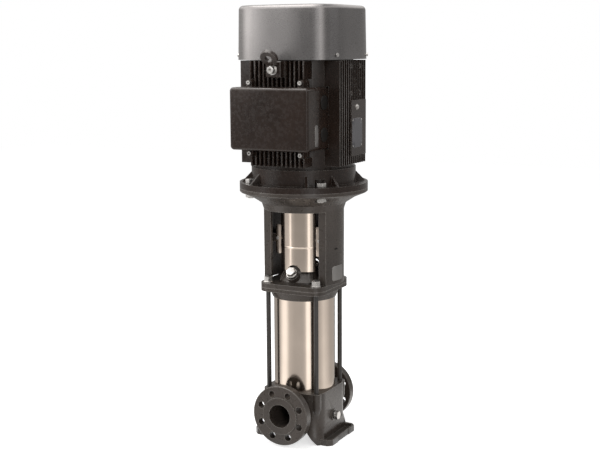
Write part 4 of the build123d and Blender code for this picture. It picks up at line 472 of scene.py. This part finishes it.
# faces of a grid of points that closes along its second parameter, with one face over each end if capped
def gridFaces(rows, around, capped):
    starts = np.arange(rows - 1)[:, None] * around
    steps = np.arange(around)[None, :]
    first = starts + steps
    beside = starts + (steps + 1) % around
    faces = np.stack([first, beside, beside + around, first + around], axis=-1).reshape(-1, 4).tolist()
    if capped:
        faces.append(list(range(around))[::-1])
        faces.append([(rows - 1) * around + step for step in range(around)])
    return faces


# how near a grid's points are joined, and past what angle its edges stay sharp
gridLook = {"weld": 1e-7, "sharpAngle": math.radians(38.0)}


# several grids of one shape as one piece; a closed grid's last row joins its first
def addGrids(label, grids, slot, finish=None, capped=True, closed=False, replaces=None):
    points, faces, start = [], [], 0
    for grid in grids:
        rows, around, _ = grid.shape
        if closed:
            grid = np.concatenate([grid, grid[:1]])
            rows += 1
        points.append(grid.reshape(-1, 3))
        faces += [[index + start for index in face] for face in gridFaces(rows, around, capped)]
        start += rows * around
    mesh = bpy.data.meshes.new(label)
    mesh.from_pydata(np.concatenate(points).tolist(), [], faces)
    work = bmesh.new()
    work.from_mesh(mesh)
    bmesh.ops.remove_doubles(work, verts=work.verts, dist=gridLook["weld"])
    bmesh.ops.recalc_face_normals(work, faces=work.faces)
    work.to_mesh(mesh)
    work.free()
    mesh.polygons.foreach_set("use_smooth", [True] * len(mesh.polygons))
    mesh.set_sharp_from_angle(angle=gridLook["sharpAngle"])
    mesh.materials.append(finishes[finish or slot])
    piece = bpy.data.objects.new(label, mesh)
    scene.collection.objects.link(piece)
    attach(piece, "pump_body")
    if replaces:
        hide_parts(replaces)


# a turned shape: each profile point (along, radius) swept once round the axis through the centre
def turned(profile, centre, axis, around=32):
    axis = np.array(axis, float) / np.linalg.norm(axis)
    unlike = (1.0, 0.0, 0.0) if abs(axis[2]) > 0.9 else (0.0, 0.0, 1.0)
    side = np.cross(axis, unlike)
    side /= np.linalg.norm(side)
    other = np.cross(axis, side)
    turn = np.linspace(0, 2 * np.pi, around, endpoint=False)
    along, radius = np.array(profile).T
    ring = np.cos(turn)[:, None] * side + np.sin(turn)[:, None] * other
    return np.array(centre) + along[:, None, None] * axis + radius[:, None, None] * ring


plateShape = {"power": 8.0, "innerShares": (0.6, 0.2)}


# a thin plate whose outline is a superellipse, near a rectangle with rounded corners; the outline rises by
# the thickness, is drawn in by the rim, and closes over the top in inner rings; the result, with x across,
# y up and z out, is laid on its surface by the place function
def thinPlate(width, height, thick, rim, place, around=64):
    turn = np.linspace(0, 2 * np.pi, around, endpoint=False)
    power = plateShape["power"]
    shape = (np.abs(np.cos(turn)) ** power + np.abs(np.sin(turn)) ** power) ** (-1 / power)
    outline = np.stack([np.cos(turn) * shape * width / 2, np.sin(turn) * shape * height / 2], axis=-1)
    rows = [(1.0, 0.0), (1.0, thick - rim), (1.0 - 2 * rim / width, thick)]
    rows += [(share, thick) for share in plateShape["innerShares"]]
    flat = np.array([[(x * share, y * share, out) for x, y in outline] for share, out in rows])
    return place(flat[..., 0], flat[..., 1], flat[..., 2])


# the sleeve as a tube turned round the pump's axis, with a fine rounded rim at both ends
sleeveLook = {"outer": 0.08475, "inner": 0.08225, "bottom": 0.136, "top": 0.403, "rim": 0.0006, "around": 256}


def buildSleeve(look):
    outer, inner, bottom, top, rim = (look[key] for key in ("outer", "inner", "bottom", "top", "rim"))
    profile = [(bottom, inner + rim), (bottom, outer - rim), (bottom + rim, outer), (top - rim, outer),
               (top, outer - rim), (top, inner + rim), (top - rim, inner), (bottom + rim, inner)]
    grid = turned(profile, (0, 0, 0), (0, 0, 1), look["around"])
    addGrids("outerSleeve", [grid], "stainless", capped=False, closed=True, replaces="outer_sleeve")


buildSleeve(sleeveLook)

# the two coupling guards: a bent sheet with an arch over the vent plug, an embossed crease and two side tabs
guardLook = {
    "radius": 0.0705, "centre": 0.0113, "reach": math.radians(50.0), "thick": 0.0012, "bottom": 0.473,
    "top": 0.641, "cornerRadius": 0.006, "archX": -0.002, "archZ": 0.469, "archRadius": 0.0215,
    "crease": 0.5385, "creaseRise": 0.0009, "creaseWidth": 0.0012,
    "creaseSteps": (-4, -2, -1.4, -0.9, -0.5, 0, 0.5, 0.9, 1.4, 2, 4), "stations": 121, "lowRows": 7,
    "highRows": 6, "tabX": (0.0532, 0.070), "tabZ": (0.515, 0.596), "tabY": -0.0328, "tabRim": 0.0003,
}


# each station along the arc is a closed loop up the outer side and down the inner one; its foot rises over
# the arch and round the corners at both ends, and its radius swells by a narrow bell at the crease
def buildGuards(look):
    angle = np.linspace(-look["reach"], look["reach"], look["stations"])
    across = look["radius"] * np.sin(angle)
    rise = np.sqrt(np.maximum(look["archRadius"] ** 2 - (across - look["archX"]) ** 2, 0))
    foot = np.maximum(look["bottom"], look["archZ"] + rise)
    ends = np.abs(look["reach"] - np.abs(angle)) * look["radius"]
    bend = look["cornerRadius"]
    corner = bend - np.sqrt(np.maximum(2 * ends * bend - ends ** 2, 0))
    foot += np.where(ends < bend, corner, 0)
    near = look["crease"] + look["creaseWidth"] * np.array(look["creaseSteps"])
    climb = np.linspace(0, 1, look["lowRows"], endpoint=False)
    low = foot[:, None] + (near[0] - foot)[:, None] * climb[None, :]
    high = np.linspace(near[-1], look["top"], look["highRows"] + 1)[1:]
    heights = np.concatenate([low, np.tile(np.concatenate([near, high]), (len(angle), 1))], axis=1)
    swell = look["creaseRise"] * np.exp(-((heights - look["crease"]) / look["creaseWidth"]) ** 2)
    outside = look["radius"] + swell
    radius = np.concatenate([outside, (outside - look["thick"])[:, ::-1]], axis=1)
    heights = np.concatenate([heights, heights[:, ::-1]], axis=1)
    x = radius * np.sin(angle)[:, None]
    y = look["centre"] - radius * np.cos(angle)[:, None]
    grids = [np.stack([x, y, heights], axis=-1)]
    (tabNear, tabFar), (tabBottom, tabTop) = look["tabX"], look["tabZ"]
    for side in (-1, 1):
        def place(x, y, out, middle=side * (tabNear + tabFar) / 2):
            return np.stack([middle + x, look["tabY"] - out, (tabBottom + tabTop) / 2 + y], axis=-1)

        grids.append(thinPlate(tabFar - tabNear, tabTop - tabBottom, look["thick"], look["tabRim"], place))
    for label, facing in (("Front", 1), ("Back", -1)):
        addGrids("couplingGuard" + label, [grid * (facing, facing, 1) for grid in grids], "stainless",
                 replaces="coupling_guard_" + label.lower())


buildGuards(guardLook)

# the bare name plate on its pad, with a rivet in each corner and the earth screw above it
nameplateLook = {"face": 0.150, "y": 0.022, "z": 0.8505, "width": 0.062, "height": 0.078, "thick": 0.0009,
                 "rim": 0.0003, "rivetInset": 0.005, "rivetAround": 16,
                 "rivet": [(0, 0.0022), (0.0006, 0.0021), (0.0011, 0.0012), (0.0013, 0.0004)]}
earthLook = {"y": 0.019, "z": 0.919,
             "profile": [(0, 0.0075), (0.0012, 0.0075), (0.0014, 0.0055), (0.0042, 0.0055),
                         (0.005, 0.0047), (0.005, 0.0022), (0.0034, 0.0018)]}


def buildNameplate(look, earth):
    def place(x, y, out):
        return np.stack([look["face"] + out, look["y"] + x, look["z"] + y], axis=-1)

    plate = thinPlate(look["width"], look["height"], look["thick"], look["rim"], place)
    addGrids("namePlate", [plate], "stainless", "plateFoil")
    reachY = look["width"] / 2 - look["rivetInset"]
    reachZ = look["height"] / 2 - look["rivetInset"]
    rivets = []
    for y in (-reachY, reachY):
        for z in (-reachZ, reachZ):
            foot = (look["face"] + look["thick"], look["y"] + y, look["z"] + z)
            rivets.append(turned(look["rivet"], foot, (1, 0, 0), look["rivetAround"]))
    addGrids("plateRivets", rivets, "zinc_steel")
    screw = turned(earth["profile"], (look["face"], earth["y"], earth["z"]), (1, 0, 0))
    addGrids("earthScrew", [screw], "zinc_steel")


buildNameplate(nameplateLook, earthLook)

# four tapped bosses between the fins, for a box on the other side
bossLook = {"root": 0.118, "face": 0.1475, "y": (-0.0095, 0.044), "z": (0.9555, 1.0265), "outer": 0.0075,
            "chamfer": 0.001, "hole": 0.0035, "mouth": 0.0008, "depth": 0.012, "around": 28}


def buildBosses(look):
    reach, outer, hole = look["face"] - look["root"], look["outer"], look["hole"]
    profile = [(0, outer), (reach - look["chamfer"], outer), (reach, outer - look["chamfer"]),
               (reach, hole + look["mouth"]), (reach - look["mouth"], hole), (reach - look["depth"], hole)]
    places = [(look["root"], y, z) for y in look["y"] for z in look["z"]]
    grids = [turned(profile, place, (1, 0, 0), look["around"]) for place in places]
    addGrids("frameBosses", grids, "motor_paint")


buildBosses(bossLook)

# a bare plate, and a near-black sheet bent round the right leg of the stool as painted shade where its slot
# is, both at the plate's radius, and a plain strip on the side of the box cover
legPlateLook = {"radius": 0.11, "middle": math.radians(-6.0), "z": 0.4715, "width": 0.0505, "height": 0.04,
                "thick": 0.0008, "rim": 0.0002, "around": 96}
# the slot is not cut: a thin black sheet paints the shade inside it
legSlotPaintedShadeLook = {"middle": math.radians(-11.0), "z": 0.5387, "width": 0.0125, "height": 0.0034,
               "thick": 0.0006, "rim": 0.0001, "around": 64}
boxStripLook = {"face": 0.115, "y": -0.148, "z": 0.852, "width": 0.018, "height": 0.055,
                "thick": 0.0007, "rim": 0.0002, "around": 64}


def buildBarePlates(leg, slot, strip):
    def wrap(x, y, out, middle=leg["middle"], z=leg["z"]):
        angle = middle + x / leg["radius"]
        radius = leg["radius"] + out
        return np.stack([radius * np.cos(angle), radius * np.sin(angle), z + y], axis=-1)

    def wrapPaintedShade(x, y, out):
        return wrap(x, y, out, slot["middle"], slot["z"])

    def lay(x, y, out):
        return np.stack([strip["face"] + out, strip["y"] + x, strip["z"] + y], axis=-1)

    plates = (("legPlate", leg, wrap, "stainless", "labelFoil"),
              # the second plate is painted shade over the leg's slot
              ("legSlot", slot, wrapPaintedShade, "rubber", "slotShade"),
              ("boxStrip", strip, lay, "stainless", "labelFoil"))
    for label, look, place, slotName, finish in plates:
        plate = thinPlate(look["width"], look["height"], look["thick"], look["rim"], place, look["around"])
        addGrids(label, [plate], slotName, finish)


buildBarePlates(legPlateLook, legSlotPaintedShadeLook, boxStripLook)
print("plates, bosses, guards and sleeve made")


# a material that gives off its colour and nothing else; with no tone given, it reads the mesh's own
def glowFinish(name, tone):
    material = bpy.data.materials.new(name)
    material.use_nodes = True
    tree = material.node_tree
    shader = tree.nodes["Principled BSDF"]
    shader.inputs["Base Color"].default_value = black
    shader.inputs["Specular IOR Level"].default_value = 0.0
    shader.inputs["Emission Strength"].default_value = 1.0
    if tone is None:
        ownTone = addNode(tree, "Attribute", {"attribute_name": "tone"}).outputs["Color"]
        tree.links.new(ownTone, shader.inputs["Emission Color"])
    else:
        shader.inputs["Emission Color"].default_value = shade(tone)
    return material


# a piece of the studio that only reflections see
def addReflected(name, points, faces, tone=None):
    mesh = bpy.data.meshes.new(name)
    mesh.from_pydata(points.reshape(-1, 3).tolist(), [], faces)
    mesh.materials.append(glowFinish(name, tone))
    thing = bpy.data.objects.new(name, mesh)
    scene.collection.objects.link(thing)
    thing.visible_camera = False
    thing.visible_diffuse = False
    thing.visible_shadow = False
    thing.visible_transmission = False
    return mesh


# the screen lies on the floor round the object and then stands up: each row is a ring of points at one radius
# and height, and a point's brightness is read off its row's list at its azimuth
def buildStudio(look):
    turn = np.linspace(*look["turn"], look["steps"])
    ring = np.stack([np.cos(np.radians(turn)), np.sin(np.radians(turn)), np.zeros(len(turn))], axis=-1)
    points = np.stack([ring * radius + (0, 0, height) for radius, height, _ in look["rows"]])
    faces = gridFaces(len(look["rows"]), look["steps"], False)
    mesh = addReflected("studioScreen", points, faces)
    tones = []
    for _, _, key in look["rows"]:
        where, brightness = np.array(look[key]).T
        tones.append(np.interp(turn, where, brightness)[:, None] * look["tint"])
    values = np.concatenate([np.stack(tones), np.ones((len(tones), look["steps"], 1))], axis=-1)
    layer = mesh.color_attributes.new("tone", "FLOAT_COLOR", "POINT")
    layer.data.foreach_set("color", values.ravel())
    card = look["topCard"]
    corners = np.array([(-1, -1, 0), (-1, 1, 0), (1, 1, 0), (1, -1, 0)]) / 2
    points = corners * (*card["size"], 0) + np.array(card["place"])
    addReflected("topCard", points, [(0, 1, 2, 3)], card["tone"])


buildStudio(studio)


# 1 for rays from the camera, off a shiny surface and through glass, and 0 for light that falls on the object
def seenDirectly(tree):
    paths = addNode(tree, "LightPath").outputs
    seen = maths(tree, "MAXIMUM", paths["Is Camera Ray"], paths["Is Glossy Ray"])
    return maths(tree, "MAXIMUM", seen, paths["Is Transmission Ray"])


# the floor is pale, and the floor and the world look like white paper where they are seen directly
def buildStage(look):
    size = look["floorReach"]
    corners = [(-size, -size, 0), (size, -size, 0), (size, size, 0), (-size, size, 0)]
    mesh = bpy.data.meshes.new("studioFloor")
    mesh.from_pydata(corners, [], [(0, 1, 2, 3)])
    floor = bpy.data.objects.new("studioFloor", mesh)
    scene.collection.objects.link(floor)
    material = bpy.data.materials.new("studioFloor")
    material.use_nodes = True
    tree = material.node_tree
    shader = tree.nodes["Principled BSDF"]
    shader.inputs["Base Color"].default_value = shade((look["floorWhite"],) * 3)
    shader.inputs["Roughness"].default_value = 1.0
    shader.inputs["Specular IOR Level"].default_value = 0.0
    shader.inputs["Emission Color"].default_value = white
    lift = maths(tree, "MULTIPLY", seenDirectly(tree), look["floorLift"])
    tree.links.new(lift, shader.inputs["Emission Strength"])
    mesh.materials.append(material)

    world = bpy.data.worlds.new("studioWorld")
    scene.world = world
    world.use_nodes = True
    tree = world.node_tree
    sky = tree.nodes["Background"]
    sky.inputs["Color"].default_value = white
    lift = maths(tree, "MULTIPLY", seenDirectly(tree), 1.0 - look["ambient"])
    tree.links.new(maths(tree, "ADD", look["ambient"], lift), sky.inputs["Strength"])


buildStage(worldLook)
scene.view_settings.view_transform = "Standard"
print("stage built")
